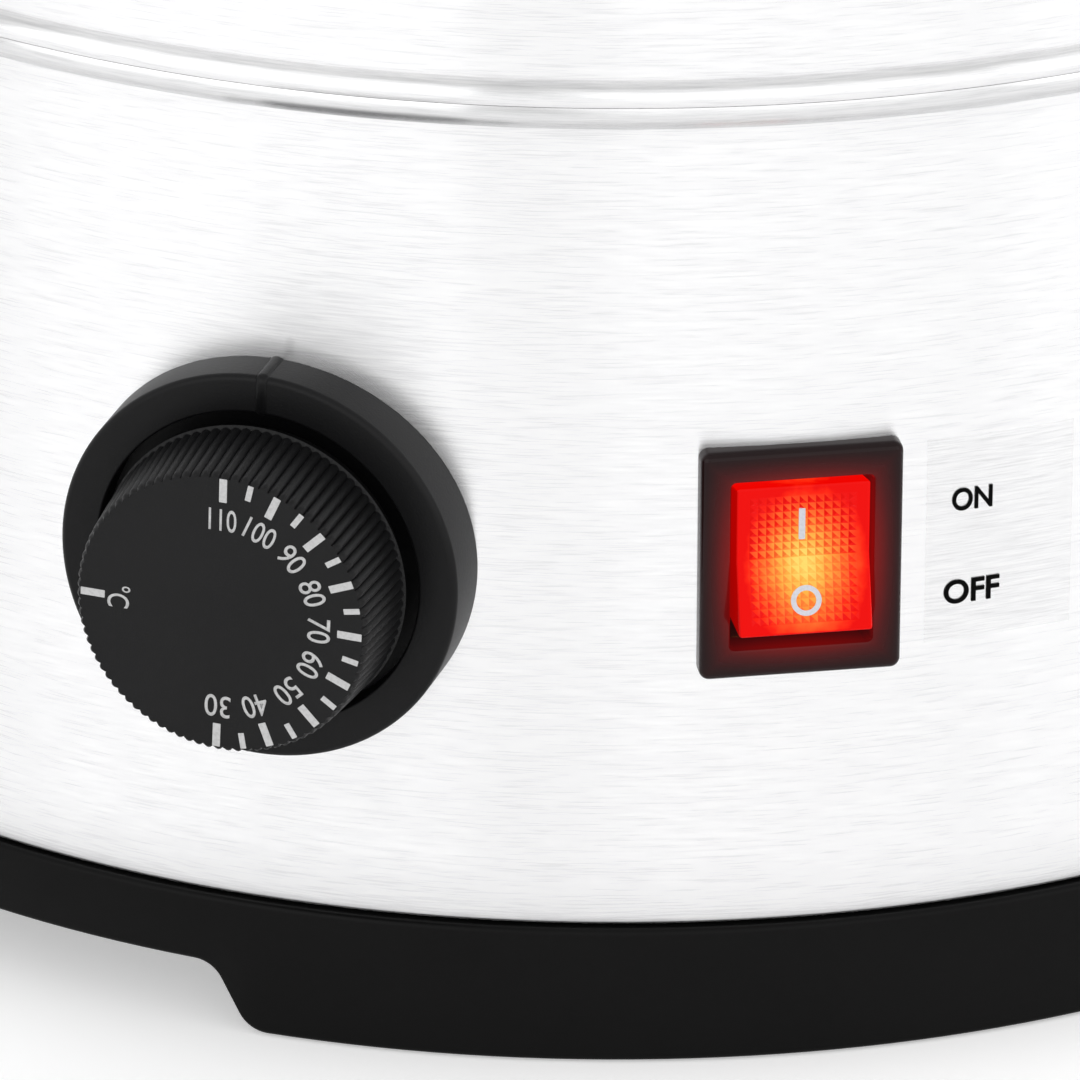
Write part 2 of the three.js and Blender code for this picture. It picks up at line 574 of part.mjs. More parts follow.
const plateFront = -(SHEET + fallBack(DRUM_RADIUS, THERMOSTAT_PLATE[0] / 2) + flatDepth + GAP);
const plateBack = plateFront - THERMOSTAT_PLATE[2];
const bodyFront = plateBack - GAP;
const bodyBack = bodyFront - THERMOSTAT_BODY[2];
const shaftRoot = bodyFront - SHAFT_ROOT;
{
  const dial = panelGroup(dialPlace);
  const screwAt = (side, body) => body.translate([side * THERMOSTAT_SCREW_REACH, 0, 0]);
  const lowest = -fallBack(DRUM_RADIUS, BEZEL_RADIUS) - 1;
  const edge = 0.5;
  const ring = turned([
    [SHAFT_RADIUS + SHAFT_HOLE_PLAY, lowest], [BEZEL_RADIUS, lowest], [BEZEL_RADIUS, BEZEL_FRONT - edge],
    [BEZEL_RADIUS - edge, BEZEL_FRONT], [BEZEL_HOLE, BEZEL_FRONT], [BEZEL_HOLE, BEZEL_FLOOR],
    [SHAFT_RADIUS + SHAFT_HOLE_PLAY, BEZEL_FLOOR],
  ], FINE_STEPS);
  const pointer = block(
    [BEZEL_HOLE, BEZEL_RADIUS + POINTER_PROUD],
    centred(POINTER_WIDTH),
    [-2, BEZEL_FRONT + POINTER_PROUD],
  ).rotate([0, 0, DIAL_SETTING]);
  const holes = [-1, 1].map((side) => screwAt(side, rod(THERMOSTAT_SCREW_RADIUS + GAP, -9, 9, 8)));
  const bezel = cut(join(ring, pointer), drumIn(dialPlace), ...holes);
  add(dial, 'dial_bezel', bezel, BLACK_PLASTIC);

  const cavityTop = KNOB_FRONT - KNOB_WALL;
  const boreTop = KNOB_BACK + SHAFT_GRIP + GAP;
  const knob = turned([
    [SHAFT_RADIUS + GAP, KNOB_BACK], [KNOB_BOSS_RADIUS, KNOB_BACK], [KNOB_BOSS_RADIUS, cavityTop],
    [KNOB_FACE_RADIUS - KNOB_WALL, cavityTop], [KNOB_SKIRT_RADIUS - KNOB_WALL, KNOB_BACK],
    [KNOB_SKIRT_RADIUS, KNOB_BACK], [KNOB_SKIRT_RADIUS, KNOB_SKIRT], [KNOB_FACE_RADIUS, KNOB_FRONT],
    [0, KNOB_FRONT], [0, boreTop], [SHAFT_RADIUS + GAP, boreTop],
  ], FINE_STEPS);
  add(dial, 'dial_knob', knob, BLACK_PLASTIC);
  add(dial, 'thermostat_shaft', rod(SHAFT_RADIUS, shaftRoot, KNOB_BACK + SHAFT_GRIP, 16), BRASS);

  const [plateWidth, plateTall] = THERMOSTAT_PLATE;
  const plate = block(centred(plateWidth), centred(plateTall), [plateBack, plateFront]);
  const shaftHole = rod(SHAFT_RADIUS + SHAFT_HOLE_PLAY, -12, 12);
  add(dial, 'thermostat_plate', cut(plate, shaftHole, ...holes), SPRING_STEEL);

  const body = block(centred(THERMOSTAT_BODY[0]), centred(THERMOSTAT_BODY[1]), [bodyBack, bodyFront]);
  const bearing = rod(SHAFT_RADIUS + GAP, shaftRoot - GAP, 12, 16);
  const screwEnd = bodyFront - THERMOSTAT_SCREW_ROOT;
  const screwBores = [-1, 1].map((side) =>
    screwAt(side, rod(THERMOSTAT_SCREW_RADIUS + GAP, screwEnd - GAP, 9, 8)));
  add(dial, 'thermostat_body', cut(body, bearing, ...screwBores), BLACK_PLASTIC);

  ['left', 'right'].forEach((name, i) => {
    const headBottom = BEZEL_FLOOR + GAP;
    const shank = rod(THERMOSTAT_SCREW_RADIUS, screwEnd, headBottom + 0.5, 8);
    const head = rod(THERMOSTAT_SCREW_HEAD, headBottom, headBottom + THERMOSTAT_HEAD_HEIGHT);
    add(dial, `thermostat_screw_${name}`, screwAt(2 * i - 1, join(shank, head)), SPRING_STEEL);
  });

  const start = pointOn(dialPlace, 0, THERMOSTAT_BODY[1] / 2 + GAP + CAPILLARY_RADIUS, bodyBack + 8);
  const end = around(bulbCircle, DIAL_ANGLE, bulbHeight - BULB_RADIUS - GAP - CAPILLARY_RADIUS);
  const swing = around(bulbCircle, DIAL_ANGLE + 8, (start[2] + end[2]) / 2);
  const capillary = along([start, swing, end], CAPILLARY_RADIUS, 12);
  add(object, 'capillary', capillary, BRASS);
}

// ---------------------------------------------------------------- rocker switch

const terminalTop = -SWITCH_DEPTH + TERMINAL_ROOT;
const terminalBottom = terminalTop - TERMINAL[2];
{
  const panel = panelGroup(switchPlace);
  const [wide, tall] = SWITCH_BEZEL;
  const lowest = -fallBack(DRUM_RADIUS, wide / 2) - 1;
  const bezel = cut(
    extruded(roundedBox(wide, tall, SWITCH_BEZEL_ROUND), lowest, SWITCH_BEZEL_FRONT, 4),
    drumIn(switchPlace),
  );
  const housing = block(centred(SWITCH_BODY[0]), centred(SWITCH_BODY[1]), [-SWITCH_DEPTH, 1]);
  const well = block(
    centred(SWITCH_OPENING[0]),
    centred(SWITCH_OPENING[1]),
    [-SWITCH_CAVITY, SWITCH_DEPTH],
  );
  const pinTip = SWITCH_OPENING[0] / 2 + 0.8;
  const bearing = rodAlongX(PIVOT_PIN_RADIUS + GAP, ...centred(2 * (pinTip + GAP)), 16)
    .translate([0, 0, ROCKER_PIVOT]);
  let frame = cut(join(bezel, housing), well, bearing);
  let number = 1;
  for (const side of [-1, 1]) {
    for (const level of [-1, 1]) {
      const [x, y] = [side * TERMINAL_SPREAD[0], level * TERMINAL_SPREAD[1]];
      const blade = (grow) => block(
        centred(TERMINAL[0] + 2 * grow),
        centred(TERMINAL[1] + 2 * grow),
        [terminalBottom, terminalTop + grow],
      ).translate([x, y, 0]);
      frame = cut(frame, blade(GAP));
      add(panel, `switch_terminal_${number}`, blade(0), BRASS);
      number += 1;
    }
  }
  add(panel, 'switch_frame', frame, GLOSS_BLACK);

  // Rocker: a shallow V front, drawn untilted with its pivot at the origin, then tilted to ON.
  const crease = ROCKER_MIDDLE - ROCKER_PIVOT;
  const tip = crease + ROCKER_HALF * Math.tan(degrees(ROCKER_TILT));
  const belly = ROCKER_BELLY - ROCKER_PIVOT;
  const side = new THREE.Shape([
    [-ROCKER_HALF, tip], [-ROCKER_HALF + 0.8, 1.5], [-5, belly], [5, belly],
    [ROCKER_HALF - 0.8, 1.5], [ROCKER_HALF, tip], [0, crease],
  ].map(([y, z]) => new THREE.Vector2(y, z)));
  const slab = extruded(side, ...centred(ROCKER_WIDTH)).rotate([90, 0, 90]);
  const pins = rodAlongX(PIVOT_PIN_RADIUS, ...centred(2 * pinTip), 16);
  const rocker = add(panel, 'switch_rocker', join(slab, pins), RED_LENS);
  rocker.position.z = ROCKER_PIVOT;
  rocker.rotation.x = degrees(-ROCKER_TILT);

  const lamp = rodAlongX(LAMP_RADIUS, ...centred(LAMP_LENGTH), 12);
  add(panel, 'switch_lamp', lamp.translate([0, 0, -SWITCH_CAVITY + GAP + LAMP_RADIUS]), GLASS);
}

// Clear label film beside the switch, bent round the drum.
{
  const inside = DRUM_RADIUS + GAP;
  const film = new THREE.Shape();
  const from = degrees(LABEL_START - 90);
  const to = degrees(LABEL_START + LABEL_SPAN - 90);
  film.absarc(0, 0, inside + LABEL_THICKNESS, from, to, false);
  film.absarc(0, 0, inside, to, from, true);
  add(object, 'on_off_label', extruded(film, LABEL_BOTTOM, LABEL_TOP, 4), CLEAR_FILM);
}

// ---------------------------------------------------------------- power inlet

{
  const inlet = panelGroup(inletPlace);
  const [wide, tall] = INLET_HOUSING;
  const lowest = -fallBack(DRUM_RADIUS, wide / 2) - 1;
  const shell = extruded(roundedBox(wide, tall, INLET_HOUSING_ROUND), lowest, INLET_HOUSING_FRONT, 4);
  const pass = block(
    centred(INLET_BODY[0] + 2 * GAP),
    centred(INLET_BODY[1] + 2 * GAP),
    [-30, 30],
  );
  const flangeBack = INLET_HOUSING_FRONT + GAP;
  const flangeFront = flangeBack + INLET_FLANGE_THICKNESS;
  const screwHoles = [-1, 1].map((side) => rod(
    INLET_SCREW_RADIUS + GAP,
    flangeFront - INLET_SCREW_LENGTH - GAP,
    flangeFront + 1,
    8,
  ).translate([side * INLET_SCREW_REACH, 0, 0]));
  add(inlet, 'inlet_housing', cut(shell, drumIn(inletPlace), pass, ...screwHoles), BLACK_PLASTIC);

  const flange = extruded(roundedBox(...INLET_FLANGE, 5), flangeBack, flangeFront, 4);
  const body = block(centred(INLET_BODY[0]), centred(INLET_BODY[1]), [INLET_BACK, flangeBack + 1]);
  const floor = flangeFront - INLET_CAVITY_DEPTH;
  const cavity = block(centred(INLET_CAVITY[0]), centred(INLET_CAVITY[1]), [floor, flangeFront + 1]);
  let socket = cut(join(flange, body), cavity, ...screwHoles);
  const pinPlaces = { line: [7, -2], neutral: [-7, -2], earth: [0, 2.5] };
  for (const [name, [x, y]] of Object.entries(pinPlaces)) {
    const blade = (grow) => block(
      centred(PIN[0] + 2 * grow),
      centred(PIN[1] + 2 * grow),
      [floor - PIN_ROOT - grow, floor - PIN_ROOT + PIN[2]],
    ).translate([x, y, 0]);
    socket = cut(socket, blade(GAP));
    add(inlet, `inlet_pin_${name}`, blade(0), BRASS);
  }
  add(inlet, 'inlet_socket', socket, BLACK_PLASTIC);

  ['right', 'left'].forEach((name, i) => {
    const headBottom = flangeFront + GAP;
    const shank = rod(INLET_SCREW_RADIUS, flangeFront - INLET_SCREW_LENGTH, headBottom + 0.5, 8);
    const head = rod(INLET_SCREW_HEAD, headBottom, headBottom + INLET_SCREW_HEAD_HEIGHT);
    const placed = join(shank, head).translate([(2 * i - 1) * INLET_SCREW_REACH, 0, 0]);
    add(inlet, `inlet_screw_${name}`, placed, SPRING_STEEL);
  });
}

// ---------------------------------------------------------------- inside wiring

{
  const [long, deep, high] = TERMINAL_BLOCK;
  const blockBottom = plateTop + GAP;
  const blockTop = blockBottom + high;
  const connector = block(centred(long), centred(deep), [blockBottom, blockTop]);
  add(object, 'terminal_block', connector.translate([0, TERMINAL_BLOCK_RADIUS, 0]), WHITE_SILICONE);

  const clear = GAP + WIRE_RADIUS;
  const post = (side, up = 0) => [side * long * 0.35, TERMINAL_BLOCK_RADIUS, blockTop + clear + up];
  const bladeEnd = (x, y, away = 0) => pointOn(
    switchPlace,
    x * TERMINAL_SPREAD[0],
    y * TERMINAL_SPREAD[1],
    terminalBottom - clear - away,
  );
  const cableHeight = blockTop + 8;
  const socketBack = (x, away = 0) => pointOn(inletPlace, x, 0, INLET_BACK - clear - away);
  const thermostatBack = (x, away = 0) => pointOn(dialPlace, x, -8, bodyBack - clear - away);
  const elementEnd = (side, drop = 0) => {
    const turn = degrees((360 - ELEMENT_SWEEP) / 2) * (2 / 3) * side;
    const height = elementHeight - ELEMENT_LEG - clear - drop;
    return [ELEMENT_LOOP * Math.sin(turn), ELEMENT_LOOP * Math.cos(turn), height];
  };
  const runs = {
    wire_supply: [socketBack(-8), socketBack(-8, 20), post(1, 14), post(1)],
    wire_switch: [post(0), post(0, 14), [40, 0, cableHeight], bladeEnd(-1, -1, 16), bladeEnd(-1, -1)],
    wire_thermostat: [bladeEnd(1, 1), bladeEnd(1, 1, 14), thermostatBack(6, 14), thermostatBack(6)],
    wire_heater: [elementEnd(-1), elementEnd(-1, 12), [-40, 0, cableHeight + 14],
      thermostatBack(-8, 18), thermostatBack(-8)],
  };
  for (const [name, points] of Object.entries(runs)) {
    add(object, name, along(points, WIRE_RADIUS, 12), WIRE_COVER);
  }
}

// ---------------------------------------------------------------- pot and lid

{
  const corner = POT_ROUND;
  const potFloor = tankFloor + SHEET + POT_FLOOR_GAP;
  const inside = potRadius - SHEET;
  const pot = turned([
    [0, potFloor], [potRadius - corner, potFloor], [potRadius - corner / 3, potFloor + corner / 3],
    [potRadius, potFloor + corner], [potRadius, potFlangeBottom], [potFlangeRadius, potFlangeBottom],
    [potFlangeRadius, potFlangeTop], [inside, potFlangeTop], [inside, potFloor + corner],
    [inside - corner / 3, potFloor + corner / 3 + SHEET], [inside - corner, potFloor + SHEET],
    [0, potFloor + SHEET],
  ], FINE_STEPS);
  add(object, 'fermenting_pot', pot, STEEL);

  const gasketBottom = potFlangeTop + GAP;
  const gasketTop = gasketBottom + GASKET_HEIGHT;
  const gasket = tube(gasketRadius + GASKET_WIDTH, gasketRadius, gasketBottom, gasketTop, FINE_STEPS);
  add(object, 'lid_gasket', gasket, WHITE_SILICONE);

  // Lid: flat rim, skirt inside the pot's mouth, and a shallow domed top.
  const skirt = inside - LID_PLAY;
  const rimTop = lidRimBottom + SHEET;
  const shoulder = skirt - 4;
  const domeHeight = (radius) => rimTop + LID_RISE * (1 - (radius / shoulder) ** 2) ** 0.75;
  const radii = [0.92, 0.7, 0.35].map((share) => shoulder * share);
  const screwHole = LID_SCREW_RADIUS + GAP;
  const lid = turned([
    [screwHole, lidTop], ...radii.map((radius) => [radius, domeHeight(radius)]).reverse(),
    [shoulder, rimTop], [potFlangeRadius, rimTop], [potFlangeRadius, lidRimBottom],
    [skirt, lidRimBottom], [skirt, lidRimBottom - LID_SKIRT],
    [skirt - SHEET, lidRimBottom - LID_SKIRT], [skirt - SHEET, lidRimBottom],
    [shoulder - SHEET, lidRimBottom],
    ...radii.map((radius) => [radius, domeHeight(radius) - 1.3 * SHEET]),
    [screwHole, lidTop - SHEET],
  ], FINE_STEPS);
  add(object, 'lid', lid, STEEL);

  const knobBottom = lidTop + GAP;
  const knobTop = knobBottom + LID_KNOB_HEIGHT;
  const boreTop = knobBottom + LID_SCREW_GRIP + GAP;
  const knob = turned([
    [screwHole, knobBottom], [LID_KNOB_NECK + 3, knobBottom], [LID_KNOB_NECK + 3, knobBottom + 2],
    [LID_KNOB_NECK, knobBottom + 5], [LID_KNOB_NECK, knobBottom + 10],
    [LID_KNOB_RADIUS - 3, knobTop - 14], [LID_KNOB_RADIUS, knobTop - 9],
    [LID_KNOB_RADIUS - 3, knobTop - 3], [LID_KNOB_RADIUS / 2, knobTop - 0.5], [0, knobTop],
    [0, boreTop], [screwHole, boreTop],
  ], 28);
  add(object, 'lid_knob', knob, BLACK_PLASTIC);
  const headTop = lidTop - SHEET - GAP;
  const shank = rod(LID_SCREW_RADIUS, headTop - 0.5, knobBottom + LID_SCREW_GRIP, 16);
  const head = rod(LID_SCREW_HEAD, headTop - LID_SCREW_HEAD_HEIGHT, headTop);
  add(object, 'lid_screw', join(shank, head), SPRING_STEEL);
}

// ---------------------------------------------------------------- side handles

function handle(side) {
  const reach = DRUM_RADIUS + HANDLE_REACH;
  const root = DRUM_RADIUS - fallBack(DRUM_RADIUS, HANDLE_HALF) - 2;
  const outline = new THREE.Shape();
  outline.moveTo(root, -HANDLE_HALF);
  outline.lineTo(reach - HANDLE_ROUND, -HANDLE_HALF);
  outline.absarc(reach - HANDLE_ROUND, HANDLE_ROUND - HANDLE_HALF, HANDLE_ROUND, -Math.PI / 2, 0);
  outline.absarc(reach - HANDLE_ROUND, HANDLE_HALF - HANDLE_ROUND, HANDLE_ROUND, 0, Math.PI / 2);
  outline.lineTo(root, HANDLE_HALF);
  const inner = HANDLE_ROUND - HANDLE_BAR / 2;
  const [innerReach, innerHalf] = [reach - HANDLE_BAR, HANDLE_HALF - HANDLE_BAR];
  const gap = new THREE.Shape();
  gap.moveTo(0, -innerHalf);
  gap.lineTo(innerReach - inner, -innerHalf);
  gap.absarc(innerReach - inner, inner - innerHalf, inner, -Math.PI / 2, 0);
  gap.absarc(innerReach - inner, innerHalf - inner, inner, 0, Math.PI / 2);
  gap.lineTo(0, innerHalf);
  const [low, high] = centred(HANDLE_THICKNESS);
  const screwTip = screwSeat + HANDLE_SCREW_LENGTH;
  const bores = [-1, 1].map((end) => rodAlongX(HANDLE_SCREW_RADIUS + GAP, 0, screwTip + GAP, 8)
    .translate([0, end * HANDLE_SCREW_SPREAD, 0]));
  const drum = tube(DRUM_RADIUS + GAP, DRUM_RADIUS / 2, 2 * low, 2 * high);
  const bar = cut(extruded(outline, low, high), extruded(gap, 2 * low, 2 * high), drum, ...bores);
  return (side < 0 ? bar.rotate([0, 0, 180]) : bar).translate([0, 0, handleHeight]);
}

// A handle screw's head bears on the inside of the drum, at the nearer edge of the head.
const headEdge = HANDLE_SCREW_SPREAD + HANDLE_SCREW_HEAD;
const screwSeat = drumInside - fallBack(drumInside, headEdge) - flatDepth - GAP;
for (const [name, side] of [['left', -1], ['right', 1]]) {
  add(object, `handle_${name}`, handle(side), BLACK_PLASTIC);
  for (const [place, end] of [['front', -1], ['back', 1]]) {
    const shank = rodAlongX(HANDLE_SCREW_RADIUS, screwSeat - 0.5, screwSeat + HANDLE_SCREW_LENGTH, 8);
    const head = rodAlongX(HANDLE_SCREW_HEAD, screwSeat - HANDLE_SCREW_HEAD_HEIGHT, screwSeat);
    const screw = join(shank, head).translate([0, side * end * HANDLE_SCREW_SPREAD, 0]);
    const placed = (side < 0 ? screw.rotate([0, 0, 180]) : screw).translate([0, 0, handleHeight]);
    add(object, `handle_screw_${name}_${place}`, placed, SPRING_STEEL);
  }
}

export default object;
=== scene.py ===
"""The looks of a heated yogurt maker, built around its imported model."""
import json
import math

import bmesh
import bpy
from mathutils import Matrix, Vector


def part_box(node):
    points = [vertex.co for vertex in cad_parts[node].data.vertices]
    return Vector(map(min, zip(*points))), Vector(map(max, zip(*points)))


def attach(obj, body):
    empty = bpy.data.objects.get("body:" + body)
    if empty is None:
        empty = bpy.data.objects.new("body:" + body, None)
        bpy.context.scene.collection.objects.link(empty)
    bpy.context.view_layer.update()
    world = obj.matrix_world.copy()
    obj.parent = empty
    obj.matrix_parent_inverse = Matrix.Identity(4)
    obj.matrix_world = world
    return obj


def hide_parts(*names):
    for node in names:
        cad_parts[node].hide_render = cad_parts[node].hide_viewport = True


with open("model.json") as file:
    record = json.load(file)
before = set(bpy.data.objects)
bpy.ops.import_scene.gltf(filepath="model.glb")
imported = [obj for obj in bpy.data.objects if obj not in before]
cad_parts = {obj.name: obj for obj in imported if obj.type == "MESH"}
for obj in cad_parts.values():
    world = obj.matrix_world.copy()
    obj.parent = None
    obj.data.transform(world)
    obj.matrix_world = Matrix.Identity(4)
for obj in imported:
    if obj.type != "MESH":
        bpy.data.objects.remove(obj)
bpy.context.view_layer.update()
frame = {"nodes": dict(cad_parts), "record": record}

MM = 0.001
GAP = 0.3

# ---------------------------------------------------------------- places from the frame

joints = {joint["name"]: joint for joint in frame["record"]["behaviour"]["joints"]}


def low(node, axis):
    """A node's lowest coordinate along an axis, in millimetres."""
    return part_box(node)[0][axis] / MM


def high(node, axis):
    """A node's highest coordinate along an axis, in millimetres."""
    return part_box(node)[1][axis] / MM


DRUM = Vector(joints["dial_turn"]["pos_m"]).to_2d().length / MM
WALL = 0.8


def panel(point, radius=DRUM):
    """A place on the drum's face: X to the right, Y up, Z straight out of the drum."""
    out = Vector((point[0], point[1], 0)).normalized()
    up = Vector((0, 0, 1))
    right = up.cross(out)
    place = Matrix((right, up, out)).transposed().to_4x4()
    place.translation = out * radius + up * (point[2] / MM)
    return place


dial_place = panel(joints["dial_turn"]["pos_m"])
switch_place = panel(joints["rocker_tilt"]["pos_m"])
inlet_height = (low("inlet_housing", 2) + high("inlet_housing", 2)) / 2
inlet_place = panel((0, 1, inlet_height * MM))


def new_object(name, data):
    """An object in the scene that holds the data."""
    made = bpy.data.objects.new(name, data)
    bpy.context.collection.objects.link(made)
    return made


# ---------------------------------------------------------------- camera

CAMERA_POINT = (86.72, -1357.58, 645.68)
CAMERA_AIM = (0.8036, -140, 72.646)
CAMERA_ROLL = 0.1726
CAMERA_LENS = 362.43


def add_camera():
    camera = new_object("camera", bpy.data.cameras.new("camera"))
    camera.data.lens = CAMERA_LENS
    camera.data.sensor_width = 36
    camera.data.clip_end = 50
    start, aim = Vector(CAMERA_POINT) * MM, Vector(CAMERA_AIM) * MM
    turn = (aim - start).to_track_quat("-Z", "Y").to_matrix().to_4x4()
    roll = Matrix.Rotation(math.radians(CAMERA_ROLL), 4, "Z")
    camera.matrix_world = Matrix.Translation(start) @ turn @ roll
    bpy.context.scene.camera = camera


add_camera()

# ---------------------------------------------------------------- materials


def colour(code, alpha=1.0):
    """A linear colour from an sRGB hex code."""
    parts = [int(code[i:i + 2], 16) / 255 for i in (1, 3, 5)]
    linear = [c / 12.92 if c <= 0.04045 else ((c + 0.055) / 1.055) ** 2.4 for c in parts]
    return (*linear, alpha)


def add_node(tree, kind, sockets=None, **settings):
    """One node, with its settings, its socket values and its links from other nodes' outputs."""
    made = tree.nodes.new(kind)
    for name, value in settings.items():
        setattr(made, name, value)
    for name, value in (sockets or {}).items():
        socket = made.inputs[name]
        if isinstance(value, bpy.types.NodeSocket):
            tree.links.new(value, socket)
        else:
            socket.default_value = value
    return made


def new_material(name, **values):
    """A Principled material; returns its tree and its shader."""
    material = bpy.data.materials.new(name)
    material.use_nodes = True
    tree = material.node_tree
    shader = tree.nodes["Principled BSDF"]
    for key, value in values.items():
        shader.inputs[key.replace("_", " ")].default_value = value
    return material, tree, shader


def stretched_noise(tree, scale, detail=2.0, roughness=0.5):
    """Noise on Object coordinates, with its own count of cells per metre along each axis."""
    coordinates = add_node(tree, "ShaderNodeTexCoord").outputs["Object"]
    mapped = add_node(tree, "ShaderNodeVectorMath", {0: coordinates, 1: scale}, operation="MULTIPLY")
    noise = add_node(tree, "ShaderNodeTexNoise", {
        "Vector": mapped.outputs[0], "Scale": 1.0, "Detail": detail, "Roughness": roughness})
    return noise.outputs["Fac"]


def ramp(tree, factor, stops):
    made = add_node(tree, "ShaderNodeValToRGB", {"Fac": factor})
    elements = made.color_ramp.elements
    while len(elements) < len(stops):
        elements.new(0.5)
    for element, (position, value) in zip(elements, stops):
        element.position = position
        element.color = value if len(value) == 4 else (*value, 1)
    return made.outputs["Color"]


def between(tree, factor, low_value, high_value):
    made = add_node(tree, "ShaderNodeMapRange", {
        "Value": factor, "To Min": low_value, "To Max": high_value})
    return made.outputs["Result"]


def bump(tree, shader, height, distance, strength=1.0):
    made = add_node(tree, "ShaderNodeBump", {
        "Height": height, "Distance": distance, "Strength": strength})
    tree.links.new(made.outputs["Normal"], shader.inputs["Normal"])


def brushed_stainless(name, level, grain, streak, shine, painted_bead_shade_bands=None):
    """Stainless sheet rubbed in one direction: fine lines that stretch every reflection
    across them, with paler and darker streaks, and painted shade in bands where a bead is rolled."""
    material, tree, shader = new_material(
        name, Metallic=1.0, Anisotropic=1.0, Anisotropic_Rotation=0.25)
    fine = stretched_noise(tree, grain, detail=2.0, roughness=0.6)
    broad = stretched_noise(tree, streak, detail=2.0)
    both = add_node(tree, "ShaderNodeMath", {
        0: broad, 1: 0.2, 2: fine}, operation="MULTIPLY_ADD").outputs[0]
    tone = ramp(tree, both, [
        (0.40, colour(level[0])), (0.60, colour(level[1])), (0.80, colour(level[2]))])
    # Painted shade for a bead: bands of darker colour by height round its seam.
    if painted_bead_shade_bands:
        middle, reach, stops = painted_bead_shade_bands
        height = add_node(tree, "ShaderNodeSeparateXYZ", {
            0: add_node(tree, "ShaderNodeTexCoord").outputs["Object"]})
        band = add_node(tree, "ShaderNodeMapRange", {
            "Value": height.outputs["Z"], "From Min": (middle - reach) * MM,
            "From Max": (middle + reach) * MM})
        rolled = ramp(tree, band.outputs[0], stops)
        tone = add_node(tree, "ShaderNodeVectorMath", {0: tone, 1: rolled}, operation="MULTIPLY")
        tone = tone.outputs[0]
    tree.links.new(tone, shader.inputs["Base Color"])
    tree.links.new(between(tree, fine, shine[0], shine[1]), shader.inputs["Roughness"])
    bump(tree, shader, fine, 0.00002, 0.16)
    return material


SEAM = high("lower_drum", 2)
BEAD_HEIGHT = 3.2

# Number 4 brushed stainless, lines running round the drum, about 0.2 mm apart and 6 mm long.
# The rolled bead gets painted shade: darker colour by height at the foot of each ridge and at the seam, in
# place of the shade and reflections of its curves.
drum_steel = brushed_stainless(
    "brushed_stainless_drum", ("#e4e4e5", "#efeff0", "#f6f6f6"),
    grain=(170, 170, 5200), streak=(60, 60, 1200), shine=(0.215, 0.235),
    painted_bead_shade_bands=(SEAM, 2 * BEAD_HEIGHT, [
        (0.0, (1, 1, 1)), (0.27, (0.96,) * 3), (0.33, (0.80,) * 3), (0.40, (0.88,) * 3),
        (0.47, (0.74,) * 3), (0.49, (0.80,) * 3), (0.51, (1, 1, 1)), (0.62, (0.95,) * 3),
        (0.70, (0.68,) * 3), (0.75, (0.88,) * 3), (0.80, (1, 1, 1))]))

# Deep drawn stainless, turned and polished, so its lines are rings round the pot.
pot_steel = brushed_stainless(
    "polished_drawn_stainless", ("#cfd1d3", "#dfe0e1", "#ececec"),
    grain=(60, 60, 1400), streak=(20, 20, 300), shine=(0.16, 0.26))


def spun_stainless():
    """Spun stainless lid: fine rings round the middle from the polishing wheel."""
    material, tree, shader = new_material("spun_stainless_lid", Metallic=1.0, Anisotropic=0.6)
    coordinates = add_node(tree, "ShaderNodeTexCoord").outputs["Object"]
    flat = add_node(tree, "ShaderNodeVectorMath", {0: coordinates, 1: (1, 1, 0)}, operation="MULTIPLY")
    radius = add_node(tree, "ShaderNodeVectorMath", {0: flat.outputs[0]}, operation="LENGTH")
    lines = add_node(tree, "ShaderNodeTexNoise", {
        "W": radius.outputs["Value"], "Scale": 2200.0, "Detail": 2.0}, noise_dimensions="1D")
    tree.links.new(ramp(tree, lines.outputs["Fac"], [
        (0.3, colour("#d3d5d6")), (0.7, colour("#f0f0f0"))]), shader.inputs["Base Color"])
    tree.links.new(between(tree, lines.outputs["Fac"], 0.2, 0.32), shader.inputs["Roughness"])
    bump(tree, shader, lines.outputs["Fac"], 0.00002, 0.3)
    return material


lid_steel = spun_stainless()


def moulded_plastic(name, dark, pale, rough, cell, depth, specular=0.5):
    """Moulded thermoplastic: one colour, with the fine spark-eroded grain of its mould."""
    material, tree, shader = new_material(name)
    shader.inputs["Specular IOR Level"].default_value = specular
    grain = stretched_noise(tree, (1 / cell,) * 3, detail=3.0, roughness=0.6)
    cloud = stretched_noise(tree, (45, 45, 45), detail=2.0)
    tree.links.new(ramp(tree, cloud, [(0.35, colour(dark)), (0.65, colour(pale))]),
                   shader.inputs["Base Color"])
    tree.links.new(between(tree, grain, rough - 0.06, rough + 0.06), shader.inputs["Roughness"])
    bump(tree, shader, grain, depth, 0.6)
    return material


# Moulded polypropylene base: satin black, a soft sheen that follows its curve.
base_plastic = moulded_plastic("satin_polypropylene", "#0a0a0a", "#0c0c0c", 0.34, 0.0005, 0.00002, 0.09)
# Moulded ABS bezel: a dry fine grain that greys the black a little.
bezel_plastic = moulded_plastic("grained_abs", "#0c0c0d", "#111112", 0.4, 0.0003, 0.00004, 0.17)
# Moulded ABS knob: the same resin, slightly smoother.
knob_plastic = moulded_plastic("fine_abs", "#0d0d0e", "#111112", 0.42, 0.00025, 0.00003, 0.2)
# Phenolic moulding: deep black with a soft polish, as on pan handles.
phenolic = moulded_plastic("polished_phenolic", "#0c0b0b", "#121111", 0.27, 0.0012, 0.00001)
# Inner phenolic housings and the connector: dull dark grey.
dull_phenolic = moulded_plastic("dull_phenolic", "#1b1b1c", "#232324", 0.6, 0.0006, 0.00003)
# Nitrile rubber foot pads: dull dark grey that hardly shines.
pad_rubber = moulded_plastic("nitrile_rubber", "#1c1c1d", "#242425", 0.85, 0.0006, 0.00004, 0.3)
# Moulded silicone seal: off-white, with a soft low sheen.
seal_silicone = moulded_plastic("milky_silicone", "#d9d7d0", "#e4e2dc", 0.55, 0.0008, 0.00002)
# Bare fired steatite: chalky cream, with no glaze.
steatite = moulded_plastic("bare_steatite", "#dcd9d0", "#e7e4dc", 0.7, 0.0005, 0.00003)
